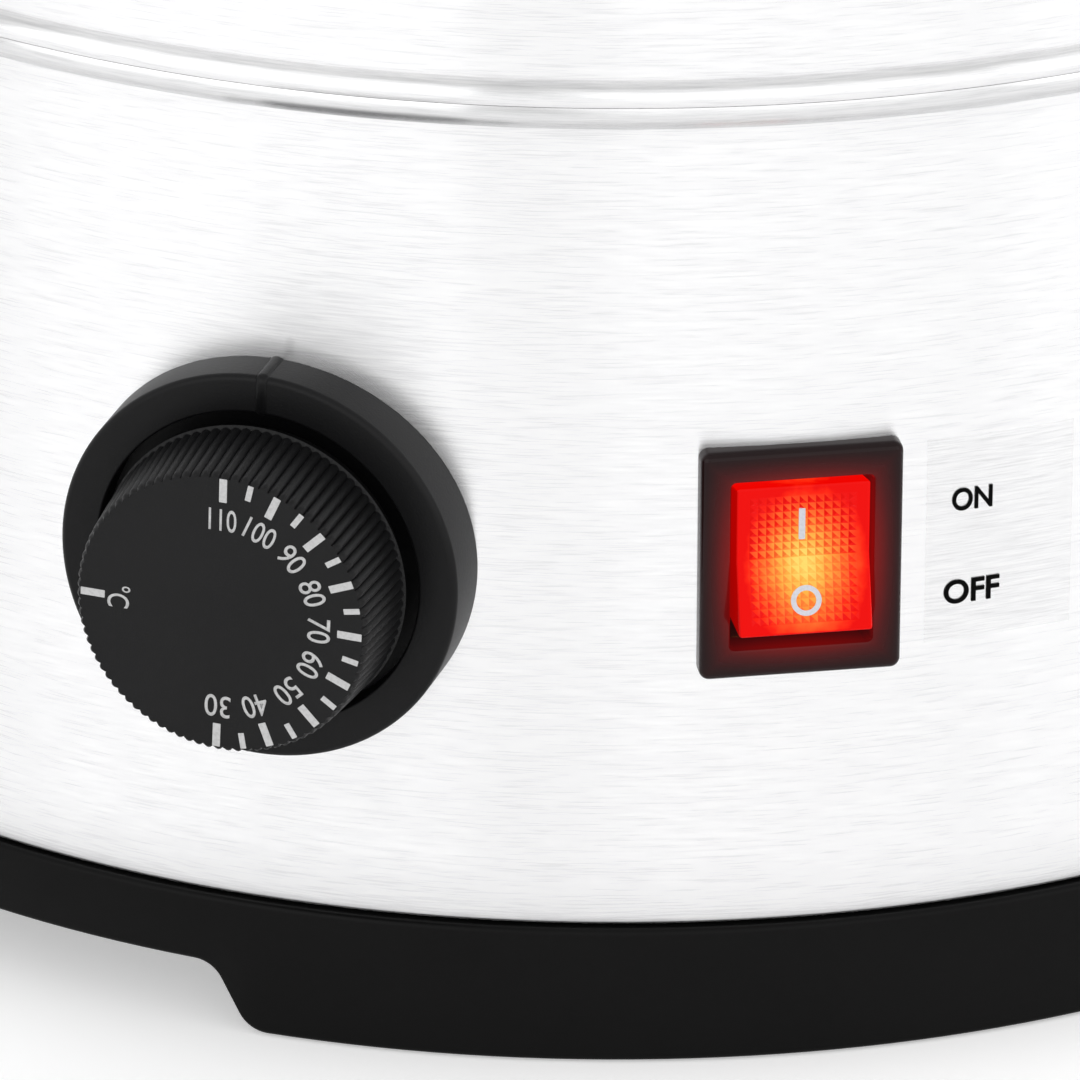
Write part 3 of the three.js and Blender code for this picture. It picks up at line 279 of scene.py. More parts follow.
# Extruded silicone wire cover: brick red and matt.
wire_rubber = moulded_plastic("silicone_wire_cover", "#7b2a20", "#8b3226", 0.6, 0.0007, 0.00002)
# Mineral wool blanket: straw coloured and rough all over.
wool = moulded_plastic("mineral_wool", "#a79d7a", "#c9c1a2", 0.95, 0.0012, 0.0004)


def cast_metal(name, dark, pale, rough, cell, depth):
    """A bare metal surface with a grain of its own."""
    material, tree, shader = new_material(name, Metallic=1.0)
    grain = stretched_noise(tree, (1 / cell,) * 3, detail=3.0)
    tree.links.new(ramp(tree, grain, [(0.3, colour(dark)), (0.7, colour(pale))]),
                   shader.inputs["Base Color"])
    tree.links.new(between(tree, grain, rough - 0.08, rough + 0.08), shader.inputs["Roughness"])
    bump(tree, shader, grain, depth, 0.5)
    return material


# Zinc plated steel: bluish grey, bright but a little uneven.
zinc_steel = cast_metal("zinc_plated_steel", "#9fa3a8", "#c2c5c9", 0.32, 0.0015, 0.00002)
# Sand cast aluminium: pale and matt, with the sand's coarse grain.
cast_aluminium = cast_metal("sand_cast_aluminium", "#9c9ea0", "#bcbec0", 0.5, 0.0008, 0.00008)
# Turned brass: warm yellow with a clean shine.
bright_brass = cast_metal("turned_brass", "#b9994f", "#d3b469", 0.28, 0.001, 0.00001)


def switch_point(tree):
    """A point's place on the switch: X across, Y up, Z out, in metres from its middle."""
    back = switch_place.inverted()
    coordinates = add_node(tree, "ShaderNodeTexCoord").outputs["Object"]
    return add_node(tree, "ShaderNodeMapping", {
        "Vector": coordinates, "Rotation": back.to_euler(),
        "Location": back.translation * MM}).outputs["Vector"]


# The well that the rocker sits in, across and up.
WELL = (17.8, 22.6)


def glossy_black():
    """Polished black nylon of the switch, with the lamp's red painted on as a glow of its own: faint all
    over, strongest on the lip round the well.
    """
    material, tree, shader = new_material("polished_nylon", Roughness=0.13)
    shader.inputs["Specular IOR Level"].default_value = 0.15
    # Painted lamp light: a red glow and a redder base colour, strongest round the edge of the well, fading
    # outwards and down into it.
    across = add_node(tree, "ShaderNodeVectorMath", {0: switch_point(tree)}, operation="ABSOLUTE")
    beyond = add_node(tree, "ShaderNodeVectorMath", {
        0: across.outputs[0], 1: (WELL[0] / 2 * MM, WELL[1] / 2 * MM, 0)}, operation="SUBTRACT")
    parts = add_node(tree, "ShaderNodeSeparateXYZ", {0: beyond.outputs[0]})
    furthest = add_node(tree, "ShaderNodeMath", {
        0: parts.outputs["X"], 1: parts.outputs["Y"]}, operation="MAXIMUM")
    painted_spill_by_well = add_node(tree, "ShaderNodeMapRange", {
        "Value": furthest.outputs[0], "From Min": -0.0005, "From Max": 0.0042,
        "To Min": 1.0, "To Max": 0.0}, interpolation_type="SMOOTHSTEP")
    away = add_node(tree, "ShaderNodeVectorMath", {0: across.outputs[0]}, operation="LENGTH")
    middle = add_node(tree, "ShaderNodeMapRange", {
        "Value": away.outputs["Value"], "From Min": 0.009, "From Max": 0.0175,
        "To Min": 1.0, "To Max": 0.25})
    level = add_node(tree, "ShaderNodeSeparateXYZ", {0: switch_point(tree)}).outputs["Z"]
    depth = add_node(tree, "ShaderNodeMapRange", {
        "Value": level, "From Min": -0.002, "From Max": 0.0018, "To Min": 0.12, "To Max": 1.0})
    lip = add_node(tree, "ShaderNodeMath", {
        0: painted_spill_by_well.outputs[0], 1: middle.outputs[0]}, operation="MULTIPLY")
    glow = add_node(tree, "ShaderNodeMath", {
        0: lip.outputs[0], 1: depth.outputs[0]}, operation="MULTIPLY")
    # The painted red glow sets both the base colour and the emission.
    tree.links.new(ramp(tree, glow.outputs[0], [
        (0.0, colour("#0d0808")), (1.0, colour("#2a0706"))]), shader.inputs["Base Color"])
    tree.links.new(ramp(tree, glow.outputs[0], [
        (0.0, colour("#140809")), (0.35, colour("#43090b")), (1.0, colour("#7c0707"))]),
        shader.inputs["Emission Color"])
    shader.inputs["Emission Strength"].default_value = 1.0
    return material


switch_plastic = glossy_black()

ROCKER_PITCH = 1.04


def lit_lens():
    """Red polycarbonate lens over a lit neon lamp, its glow standing in for the lamp's light through it:
    amber where the lamp is close behind it, deep red towards the edges, with painted facet shade that makes
    each small pyramid brighter on one side than on the other."""
    material, tree, shader = new_material("lit_red_polycarbonate", Roughness=0.16)
    shader.inputs["Specular IOR Level"].default_value = 0.08
    shader.inputs["Base Color"].default_value = colour("#220000")
    shape = add_node(tree, "ShaderNodeVectorMath", {
        0: switch_point(tree), 1: (1 / 0.0086, 1 / 0.0112, 0)}, operation="MULTIPLY")
    lamp = add_node(tree, "ShaderNodeVectorMath", {
        0: shape.outputs[0], 1: (0.0, 0.03, 0)}, operation="DISTANCE")
    wobble = stretched_noise(tree, (700, 700, 700), detail=2.0)
    reach = add_node(tree, "ShaderNodeMath", {
        0: wobble, 1: 0.2, 2: lamp.outputs["Value"]}, operation="MULTIPLY_ADD")
    # Painted facet shade: each pyramid's glow is brighter or darker, and its hue shifts, by which way its
    # face turns.
    facing = add_node(tree, "ShaderNodeNewGeometry").outputs["Normal"]
    side = switch_place.to_3x3() @ Vector((0.8, 0.55, 0))
    painted_facet_lean = add_node(tree, "ShaderNodeVectorMath", {
        0: facing, 1: side}, operation="DOT_PRODUCT")
    slight = add_node(tree, "ShaderNodeClamp", {
        "Value": painted_facet_lean.outputs["Value"], "Min": -0.4, "Max": 0.12})
    shift = add_node(tree, "ShaderNodeMath", {
        0: slight.outputs[0], 1: -0.62, 2: reach.outputs[0]}, operation="MULTIPLY_ADD")
    glow = ramp(tree, shift.outputs[0], [
        (0.14, colour("#ffdc6c")), (0.36, colour("#ffb448")), (0.58, colour("#ff7c30")),
        (0.78, colour("#ff4c1c")), (0.92, colour("#ff2009")), (1.0, colour("#f00400")),
    ])
    light = add_node(tree, "ShaderNodeMapRange", {
        "Value": painted_facet_lean.outputs["Value"], "From Min": -0.9, "From Max": -0.2,
        "To Min": 0.35, "To Max": 1.0})
    lit = add_node(tree, "ShaderNodeVectorMath", {
        0: glow, "Scale": light.outputs[0]}, operation="SCALE")
    tree.links.new(lit.outputs[0], shader.inputs["Emission Color"])
    shader.inputs["Emission Strength"].default_value = 1.0
    return material


lens = lit_lens()


def print_ink(name, code, rough, specular=0.5, lit=None):
    """Pad printing ink: flat, slightly uneven in its cover; lit is its colour with a lamp behind."""
    material, tree, shader = new_material(name, Roughness=rough)
    shader.inputs["Specular IOR Level"].default_value = specular
    cover = stretched_noise(tree, (2500, 2500, 2500), detail=1.0)
    base = colour(code)
    thin = tuple(0.86 * part for part in base[:3])
    tree.links.new(ramp(tree, cover, [(0.3, thin), (0.6, base)]), shader.inputs["Base Color"])
    if lit:
        shader.inputs["Emission Color"].default_value = colour(lit)
        shader.inputs["Emission Strength"].default_value = 0.2
    return material


dial_ink = print_ink("pale_grey_ink", "#d0d0d0", 0.6)
label_ink = print_ink("black_ink", "#050505", 0.7, specular=0.05)
switch_ink = print_ink("white_ink", "#c4c4cc", 0.4, lit="#e2e2ea")


def clear_film():
    """Clear polyester film: almost nothing but a faint gloss."""
    material, tree, shader = new_material("clear_polyester", Roughness=0.12, Alpha=0.05)
    cloud = stretched_noise(tree, (60, 60, 60))
    tree.links.new(ramp(tree, cloud, [(0.3, colour("#eeeeee")), (0.7, colour("#fbfbfb"))]),
                   shader.inputs["Base Color"])
    return material


film = clear_film()


def lamp_glass():
    """Neon lamp glass, glowing orange."""
    material, tree, shader = new_material("neon_glass", Roughness=0.05, Transmission_Weight=0.6)
    glow = stretched_noise(tree, (300, 300, 300))
    tree.links.new(ramp(tree, glow, [(0.3, colour("#ff7a2a")), (0.7, colour("#ffb25a"))]),
                   shader.inputs["Emission Color"])
    shader.inputs["Emission Strength"].default_value = 2.0
    return material


neon = lamp_glass()

# ---------------------------------------------------------------- mesh helpers


def metre_place(place):
    """A place in millimetres as a place in metres."""
    moved = place.copy()
    moved.translation = place.translation * MM
    return moved


def evaluated_mesh(made):
    """A plain mesh of what an object's text or modifiers make."""
    bpy.context.view_layer.update()
    graph = bpy.context.evaluated_depsgraph_get()
    return bpy.data.meshes.new_from_object(made.evaluated_get(graph))


def piece(name, points, faces, material, place=None, crease=32.0):
    """A closed mesh object from points in millimetres, with its place in its mesh."""
    mesh = bpy.data.meshes.new(name)
    place = place or Matrix()
    mesh.from_pydata([(place @ Vector(point)) * MM for point in points], [], faces)
    made = new_object(name, mesh)
    finish_mesh(mesh, material, crease)
    return made


def finish_mesh(mesh, material, crease=32.0):
    """Turn faces outwards, give the one material, and keep edges sharper than the crease."""
    whole = bmesh.new()
    whole.from_mesh(mesh)
    bmesh.ops.remove_doubles(whole, verts=whole.verts, dist=1e-7)
    bmesh.ops.recalc_face_normals(whole, faces=whole.faces)
    whole.to_mesh(mesh)
    whole.free()
    mesh.materials.clear()
    mesh.materials.append(material)
    mesh.shade_smooth()
    mesh.set_sharp_from_angle(angle=math.radians(crease))


def rounded(corners, steps=5):
    """An outline from (x, y, radius) corners, each rounded by its own radius."""
    outline = []
    for i, (x, y, radius) in enumerate(corners):
        here = Vector((x, y))
        before = Vector(corners[i - 1][:2]) - here
        after = Vector(corners[(i + 1) % len(corners)][:2]) - here
        if radius <= 0:
            outline.append((x, y))
            continue
        half = before.angle(after) / 2
        reach = radius / math.tan(half)
        middle = here + (before.normalized() + after.normalized()).normalized() * (radius / math.sin(half))
        start = here + before.normalized() * reach - middle
        end = here + after.normalized() * reach - middle
        sweep = start.angle_signed(end)
        for k in range(steps + 1):
            turn = -sweep * k / steps
            c, s = math.cos(turn), math.sin(turn)
            outline.append((middle.x + start.x * c - start.y * s, middle.y + start.x * s + start.y * c))
    return outline


def turned(name, profile, material, steps=180, place=None, crease=32.0):
    """A shape turned round Z from [radius, height]; a profile off the axis closes on itself."""
    points, faces = [], []
    for radius, height in profile:
        for k in range(steps):
            turn = 2 * math.pi * k / steps
            points.append((radius * math.sin(turn), -radius * math.cos(turn), height))
    count = len(profile)
    closed = min(radius for radius, _ in profile) > 0
    for i in range(count if closed else count - 1):
        j = (i + 1) % count
        for k in range(steps):
            n = (k + 1) % steps
            faces.append((i * steps + k, i * steps + n, j * steps + n, j * steps + k))
    return piece(name, points, faces, material, place, crease)


def lofted(name, rings, material, place=None, crease=32.0, loop=False):
    """A skin over rings of equal length, capped at both ends, or closed into a loop."""
    size = len(rings[0])
    points = [point for ring in rings for point in ring]
    faces = []
    spans = len(rings) if loop else len(rings) - 1
    for i in range(spans):
        j = (i + 1) % len(rings)
        for k in range(size):
            n = (k + 1) % size
            faces.append((i * size + k, i * size + n, j * size + n, j * size + k))
    if not loop:
        faces.append(tuple(range(size)))
        faces.append(tuple((len(rings) - 1) * size + k for k in range(size)))
    return piece(name, points, faces, material, place, crease)


def box_loop(width, height, radii, steps=6):
    """A rounded rectangle's points; radii is one value or four, from the lower left."""
    if not isinstance(radii, tuple):
        radii = (radii,) * 4
    x, y = width / 2, height / 2
    corners = [(-x, -y), (x, -y), (x, y), (-x, y)]
    return rounded([(*corner, radius) for corner, radius in zip(corners, radii)], steps)


def level_ring(width, height, radii, z, steps=6):
    """A rounded rectangle's points at one height."""
    return [(x, y, z) for x, y in box_loop(width, height, radii, steps)]


def rounded_front(size, radius, edge, front, steps, tightening=1.0):
    """Rings that lead a rounded rectangle's side over a rounded edge to its front."""
    rings = []
    for i in range(steps + 1):
        turn = math.pi / 2 * i / steps
        inset = edge * (1 - math.cos(turn))
        rings.append(level_ring(
            size[0] - 2 * inset, size[1] - 2 * inset, max(0.5, radius - inset * tightening),
            front - edge + edge * math.sin(turn)))
    return rings


def seat_on_drum(point, growth=0.05):
    """A point of a panel place, pulled back onto the round of the drum."""
    radius = DRUM + growth
    return (point[0], point[1], math.sqrt(radius * radius - point[0] ** 2) - DRUM)


def joined(name, parts):
    """One mesh object from several, keeping each part's material."""
    whole = bmesh.new()
    materials = []
    for part in parts:
        mesh = part.data
        if mesh.materials[0] not in materials:
            materials.append(mesh.materials[0])
        slot = materials.index(mesh.materials[0])
        start = len(whole.faces)
        whole.from_mesh(mesh)
        whole.faces.ensure_lookup_table()
        for face in whole.faces[start:]:
            face.material_index = slot
    mesh = bpy.data.meshes.new(name)
    whole.to_mesh(mesh)
    whole.free()
    for material in materials:
        mesh.materials.append(material)
    for part in parts:
        bpy.data.objects.remove(part)
    return new_object(name, mesh)


def show(made, body, slot, *nodes):
    """Ride on a body and stand for the CAD nodes; the slot is not used."""
    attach(made, body)
    if nodes:
        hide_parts(*nodes)
    return made


# ---------------------------------------------------------------- geometry node trees


def ring_tree():
    """Copies of the input mesh, turned round Z from a start angle by a step, then merged."""
    tree = bpy.data.node_groups.new("copies_round_axis", "GeometryNodeTree")
    for name, kind in (("Geometry", "NodeSocketGeometry"), ("Count", "NodeSocketInt"),
                       ("Start", "NodeSocketFloat"), ("Step", "NodeSocketFloat"),
                       ("Material", "NodeSocketMaterial")):
        tree.interface.new_socket(name, in_out="INPUT", socket_type=kind)
    tree.interface.new_socket("Geometry", in_out="OUTPUT", socket_type="NodeSocketGeometry")
    given = add_node(tree, "NodeGroupInput").outputs
    points = add_node(tree, "GeometryNodePoints", {"Count": given["Count"]})
    index = add_node(tree, "GeometryNodeInputIndex")
    turn = add_node(tree, "ShaderNodeMath", {
        0: index.outputs[0], 1: given["Step"], 2: given["Start"]}, operation="MULTIPLY_ADD")
    about = add_node(tree, "ShaderNodeCombineXYZ", {"Z": turn.outputs[0]})
    copies = add_node(tree, "GeometryNodeInstanceOnPoints", {
        "Points": points.outputs[0], "Instance": given["Geometry"], "Rotation": about.outputs[0]})
    real = add_node(tree, "GeometryNodeRealizeInstances", {0: copies.outputs[0]})
    merged = add_node(tree, "GeometryNodeMergeByDistance", {
        "Geometry": real.outputs[0], "Distance": 1e-6})
    finished = add_node(tree, "GeometryNodeSetMaterial", {
        "Geometry": merged.outputs[0], "Material": given["Material"]})
    add_node(tree, "NodeGroupOutput", {"Geometry": finished.outputs[0]})
    return tree


def grid_tree():
    """Copies of the input mesh on a flat grid, columns along X and rows along Y."""
    tree = bpy.data.node_groups.new("copies_on_grid", "GeometryNodeTree")
    for name, kind in (("Geometry", "NodeSocketGeometry"), ("Columns", "NodeSocketInt"),
                       ("Rows", "NodeSocketInt"), ("Width", "NodeSocketFloat"),
                       ("Height", "NodeSocketFloat"), ("Material", "NodeSocketMaterial")):
        tree.interface.new_socket(name, in_out="INPUT", socket_type=kind)
    tree.interface.new_socket("Geometry", in_out="OUTPUT", socket_type="NodeSocketGeometry")
    given = add_node(tree, "NodeGroupInput").outputs
    grid = add_node(tree, "GeometryNodeMeshGrid", {
        "Size X": given["Width"], "Size Y": given["Height"],
        "Vertices X": given["Columns"], "Vertices Y": given["Rows"]})
    copies = add_node(tree, "GeometryNodeInstanceOnPoints", {
        "Points": grid.outputs["Mesh"], "Instance": given["Geometry"]})
    real = add_node(tree, "GeometryNodeRealizeInstances", {0: copies.outputs[0]})
    finished = add_node(tree, "GeometryNodeSetMaterial", {
        "Geometry": real.outputs[0], "Material": given["Material"]})
    add_node(tree, "NodeGroupOutput", {"Geometry": finished.outputs[0]})
    return tree


copies_round_axis = ring_tree()
copies_on_grid = grid_tree()


def copied(unit, tree, material, place=None, crease=32.0, **inputs):
    """The unit's mesh repeated by a node tree, as a plain mesh at a place."""
    modifier = unit.modifiers.new("copies", "NODES")
    modifier.node_group = tree
    sockets = {item.name: item.identifier for item in tree.interface.items_tree
               if item.in_out == "INPUT"}
    for name, value in inputs.items():
        modifier[sockets[name]] = value
    modifier[sockets["Material"]] = material
    mesh = evaluated_mesh(unit)
    name = unit.name
    bpy.data.objects.remove(unit)
    made = new_object(name, mesh)
    if place:
        mesh.transform(metre_place(place))
    finish_mesh(mesh, material, crease)
    return made


def closed(made, material, crease=32.0):
    """Close a sheet's open edges, so that it holds a volume."""
    whole = bmesh.new()
    whole.from_mesh(made.data)
    bmesh.ops.remove_doubles(whole, verts=whole.verts, dist=2e-6)
    bmesh.ops.holes_fill(whole, edges=whole.edges, sides=0)
    whole.to_mesh(made.data)
    whole.free()
    finish_mesh(made.data, material, crease)


def bevelled(made, width, segments=3, angle=30.0):
    """Round a mesh's edges and keep the result as its mesh."""
    material = made.data.materials[0]
    modifier = made.modifiers.new("round", "BEVEL")
    modifier.width = width * MM
    modifier.segments = segments
    modifier.limit_method = "ANGLE"
    modifier.angle_limit = math.radians(angle)
    mesh = evaluated_mesh(made)
    made.modifiers.clear()
    made.data = mesh
    finish_mesh(mesh, material, 40.0)
    return made


def holed(made, cutters):
    """Cut the cutters out of a mesh."""
    for cutter in cutters:
        modifier = made.modifiers.new("hole", "BOOLEAN")
        modifier.object = cutter
        modifier.operation = "DIFFERENCE"
        modifier.solver = "EXACT"
    mesh = evaluated_mesh(made)
    made.modifiers.clear()
    made.data = mesh
    for cutter in cutters:
        bpy.data.objects.remove(cutter)
    return made


def lettering(name, text, height, material, width, weight, thickness=0.04):
    """Flat raised text, centred, of a given height and width in millimetres."""
    curve = bpy.data.curves.new(name, "FONT")
    curve.body = text
    curve.align_x = "CENTER"
    curve.align_y = "CENTER"
    curve.offset = weight
    curve.resolution_u = 6
    source = new_object(name, curve)
    mesh = evaluated_mesh(source)
    bpy.data.objects.remove(source)
    xs = [vertex.co.x for vertex in mesh.vertices]
    ys = [vertex.co.y for vertex in mesh.vertices]
    tall = height / (max(ys) - min(ys))
    wide = width / (max(xs) - min(xs))
    middle = Vector(((max(xs) + min(xs)) / 2, (max(ys) + min(ys)) / 2, 0))
    whole = bmesh.new()
    whole.from_mesh(mesh)
    for vertex in whole.verts:
        moved = vertex.co - middle
        vertex.co = Vector((moved.x * wide, moved.y * tall, 0))
    bmesh.ops.remove_doubles(whole, verts=whole.verts, dist=1e-4)
    body = bmesh.ops.extrude_face_region(whole, geom=whole.faces[:])
    lifted = [item for item in body["geom"] if isinstance(item, bmesh.types.BMVert)]
    bmesh.ops.translate(whole, verts=lifted, vec=(0, 0, thickness))
    bmesh.ops.recalc_face_normals(whole, faces=whole.faces)
    whole.to_mesh(mesh)
    whole.free()
    mesh.materials.clear()
    mesh.materials.append(material)
    return new_object(name, mesh)


def put(made, place):
    """Move a mesh drawn in millimetres to its place, in metres."""
    for vertex in made.data.vertices:
        vertex.co = (place @ vertex.co) * MM
    return made


def round_head_screw(name, place, head, head_height, shank, length):
    """A pan head screw, its tip at the place's origin and its head at +Z, with a cross recess."""
    seat = length - head_height
    profile = rounded([
        (0, 0, 0), (shank * 0.6, 0, 0), (shank, 1.2, 0), (shank, seat, 0), (head, seat, 0.2),
        (head, length, head_height * 0.55), (0, length, 0)], 5)
    screw = turned(name, profile, zinc_steel, 40, place)
    recess = []
    for turn in (0, math.pi / 2):
        arm = [level_ring(head * 1.1, head * 0.26, 0.05, z, 1)
               for z in (length - head_height * 0.55, length + 1)]
        recess.append(lofted("recess", arm, zinc_steel, place @ Matrix.Rotation(turn, 4, "Z")))
    screw = holed(screw, recess)
    finish_mesh(screw.data, zinc_steel, 35)
    return screw


# ---------------------------------------------------------------- base

BASE = high("base_ring", 0)
LEDGE = high("base_ring", 2)
FOOT_LIFT = low("base_ring", 2)
BASE_WALL = 3.2
DECK_WIDTH = 27.0
NOTCH_TOP = 9.35
FOOT_COUNT = 4
FOOT_ANGLE = 15.0
NOTCH_SPAN = 28.0
NOTCH_SLOPE = math.radians(62)
NOTCH_ROUND = 4.2
SCREW_OFFSET = 17.0
SCREW_HOLE = 4.8
SCREW_BOSS = 6.8
PAD_RADIUS = 8.0
PAD_HEIGHT = high("rubber_pad_1", 2)
PAD_CIRCLE = BASE - DECK_WIDTH / 2


def around(radius, angle, height):
    """A point at a radius, an angle in degrees from the front and a height."""
    turn = math.radians(angle)
    return (radius * math.sin(turn), -radius * math.cos(turn), height)


def foot_line():
    """(angle, height) of the base ring's lower edge, once round, close set on the slants."""
    rise = NOTCH_TOP - FOOT_LIFT
    run = (2 * NOTCH_ROUND * math.sin(NOTCH_SLOPE)
           + (rise - 2 * NOTCH_ROUND * (1 - math.cos(NOTCH_SLOPE))) / math.tan(NOTCH_SLOPE))
    half = math.radians(NOTCH_SPAN / 2) * BASE
    steps = 8
    turns = [NOTCH_SLOPE * i / steps for i in range(steps + 1)]
    lower = [(half + run / 2 - NOTCH_ROUND * math.sin(turn),
              FOOT_LIFT + NOTCH_ROUND * (1 - math.cos(turn))) for turn in turns]
    upper = [(half - run / 2 + NOTCH_ROUND * math.sin(turn),
              NOTCH_TOP - NOTCH_ROUND * (1 - math.cos(turn))) for turn in reversed(turns)]
    straight = [tuple(a + (b - a) * k / 5 for a, b in zip(lower[-1], upper[0])) for k in range(1, 5)]
    slant = lower + straight + upper
    line = []
    for foot in range(FOOT_COUNT):
        middle = FOOT_ANGLE + (foot + 0.5) * 360 / FOOT_COUNT
        down = [(middle - math.degrees(side / BASE), height) for side, height in slant]
        up = [(2 * middle - angle, height) for angle, height in reversed(down)]
        before = middle - 360 / FOOT_COUNT + (middle - down[0][0])
        flat = max(2, round((down[0][0] - before) / 1.5))
        line += [(before + (down[0][0] - before) * k / flat, FOOT_LIFT) for k in range(1, flat)]
        line += down
        top = max(2, round((up[0][0] - down[-1][0]) / 1.5))
        line += [(down[-1][0] + (up[0][0] - down[-1][0]) * k / top, NOTCH_TOP) for k in range(1, top)]
        line += up
    return line


def base_ring():
    """The moulded ring with its stepped feet, its bosses and its rubber pads."""
    rings = []
    for angle, foot in foot_line():
        section = rounded([
            (BASE - DECK_WIDTH, LEDGE - BASE_WALL, 0), (BASE - BASE_WALL, LEDGE - BASE_WALL, 0),
            (BASE - BASE_WALL, foot, 0.4), (BASE, foot, 0.7), (BASE, LEDGE, 0.8),
            (BASE - DECK_WIDTH, LEDGE, 0),
        ], 4)
        rings.append([around(radius, angle, height) for radius, height in section])
    ring = lofted("base_ring_moulding", rings, base_plastic, loop=True, crease=38)
    parts = [ring]
    for foot in range(FOOT_COUNT):
        spot = Matrix.Translation(around(PAD_CIRCLE, FOOT_ANGLE + foot * 360 / FOOT_COUNT, 0))
        boss = PAD_RADIUS + GAP + 2
        parts.append(turned("pad_boss", rounded([
            (PAD_RADIUS + GAP, FOOT_LIFT, 0.3), (boss, FOOT_LIFT, 0.3), (boss, LEDGE - BASE_WALL, 0),
            (PAD_RADIUS + GAP, LEDGE - BASE_WALL, 0)], 3), base_plastic, 48, spot))
        spot = Matrix.Translation(around(PAD_CIRCLE, FOOT_ANGLE + SCREW_OFFSET + foot * 360 / FOOT_COUNT, 0))
        parts.append(turned("screw_boss", rounded([
            (SCREW_HOLE, 2 * FOOT_LIFT, 0.3), (SCREW_BOSS, 2 * FOOT_LIFT, 0.3),
            (SCREW_BOSS, LEDGE - BASE_WALL, 0), (SCREW_HOLE, LEDGE - BASE_WALL, 0)], 3),
            base_plastic, 40, spot))
    show(joined("base_ring_moulding", parts), "base", "base_black", "base_ring")
    pad = turned("rubber_foot_pads", rounded([
        (0, 0, 0), (PAD_RADIUS, 0, 0.8), (PAD_RADIUS, PAD_HEIGHT, 0), (0, PAD_HEIGHT, 0)], 4),
        pad_rubber, 48, Matrix.Translation(around(PAD_CIRCLE, FOOT_ANGLE, 0)))
    pads = copied(pad, copies_round_axis, pad_rubber, Count=FOOT_COUNT, Start=0.0,
                  Step=2 * math.pi / FOOT_COUNT)
    show(pads, "base", "foot_rubber", *[f"rubber_pad_{i + 1}" for i in range(FOOT_COUNT)])


base_ring()

# ---------------------------------------------------------------- drum

BEAD_PROUD = high("lower_drum", 1) - DRUM
DRUM_FOOT = low("lower_drum", 2)
DRUM_TOP = high("upper_drum", 2)
BEAD_STEPS = 12
FOOT_FLANGE = 16.0
SHAFT_HOLE = 5.0
SWITCH_HOLE = (22.2, 28.4)
INLET_HOLE = (28.6, 21)
CUT_REACH = 20.0


def bead(level, direction):
    """Half of the bead: a low round ridge that turns in at the seam."""
    points = []
    for i in range(BEAD_STEPS + 1):
        share = i / BEAD_STEPS
        swell = math.sin(math.pi * (0.28 + 0.72 * share)) ** 0.8 if share < 1 else 0.0
        points.append((DRUM + BEAD_PROUD * 0.98 * swell, level + direction * BEAD_HEIGHT * share))
    return points


def drum_holes():
    """Cutters for the dial's shaft, the switch and the power inlet."""
    outline = [(0, -CUT_REACH), (SHAFT_HOLE, -CUT_REACH), (SHAFT_HOLE, CUT_REACH), (0, CUT_REACH)]
    cutters = [turned("dial_hole", outline, drum_steel, 48, dial_place)]
    switch_reach = high("switch_frame", 2) - low("switch_frame", 2)
    for name, size, reach, place in (("switch_hole", SWITCH_HOLE, switch_reach, switch_place),
                                     ("inlet_hole", INLET_HOLE, CUT_REACH, inlet_place)):
        loops = [level_ring(*size, 0.5, z) for z in (-reach, reach)]
        cutters.append(lofted(name, loops, drum_steel, place))
    return cutters


def drums():
    """The lower shell with its holes and the upper shell, meeting at the bead."""
    inside = DRUM - WALL
    lower = [
        (inside - FOOT_FLANGE, DRUM_FOOT), (DRUM - 0.5, DRUM_FOOT), (DRUM - 0.15, DRUM_FOOT + 0.15),
        (DRUM, DRUM_FOOT + 0.5), (DRUM, DRUM_FOOT + 9),
        (DRUM, DRUM_FOOT + 20), (DRUM, SEAM - 20), (DRUM, SEAM - 8),
        *reversed(bead(SEAM, -1)), (inside, SEAM), (inside, DRUM_FOOT + WALL),
        (inside - FOOT_FLANGE, DRUM_FOOT + WALL),
    ]
    made = turned("lower_drum_shell", lower, drum_steel, 360)
    made = holed(made, drum_holes())
    finish_mesh(made.data, drum_steel, 50)
    show(made, "base", "drum_steel", "lower_drum")
    spigot = inside - GAP
    seam = SEAM + 0.06
    upper = [
        (spigot - WALL, seam - 8), (spigot, seam - 8), (spigot, seam), *bead(seam, 1),
        (DRUM, seam + 8), (DRUM, DRUM_TOP), (inside, DRUM_TOP), (inside, seam + 4),
        (spigot - WALL, seam + 1),
    ]
    show(turned("upper_drum_shell", upper, drum_steel, 360, crease=50), "base", "drum_steel", "upper_drum")


drums()

# ---------------------------------------------------------------- tank, pot and lid


TANK = DRUM - 13
TANK_FLOOR = SEAM - 9.25
LIP_DEPTH = 6
POT = TANK - 7.5
SKIRT = POT - WALL - 1.2
SHOULDER = SKIRT - 4
LID_HOLE = 2.8
DOME_STEPS = 18
SEAL_WIDTH = 4


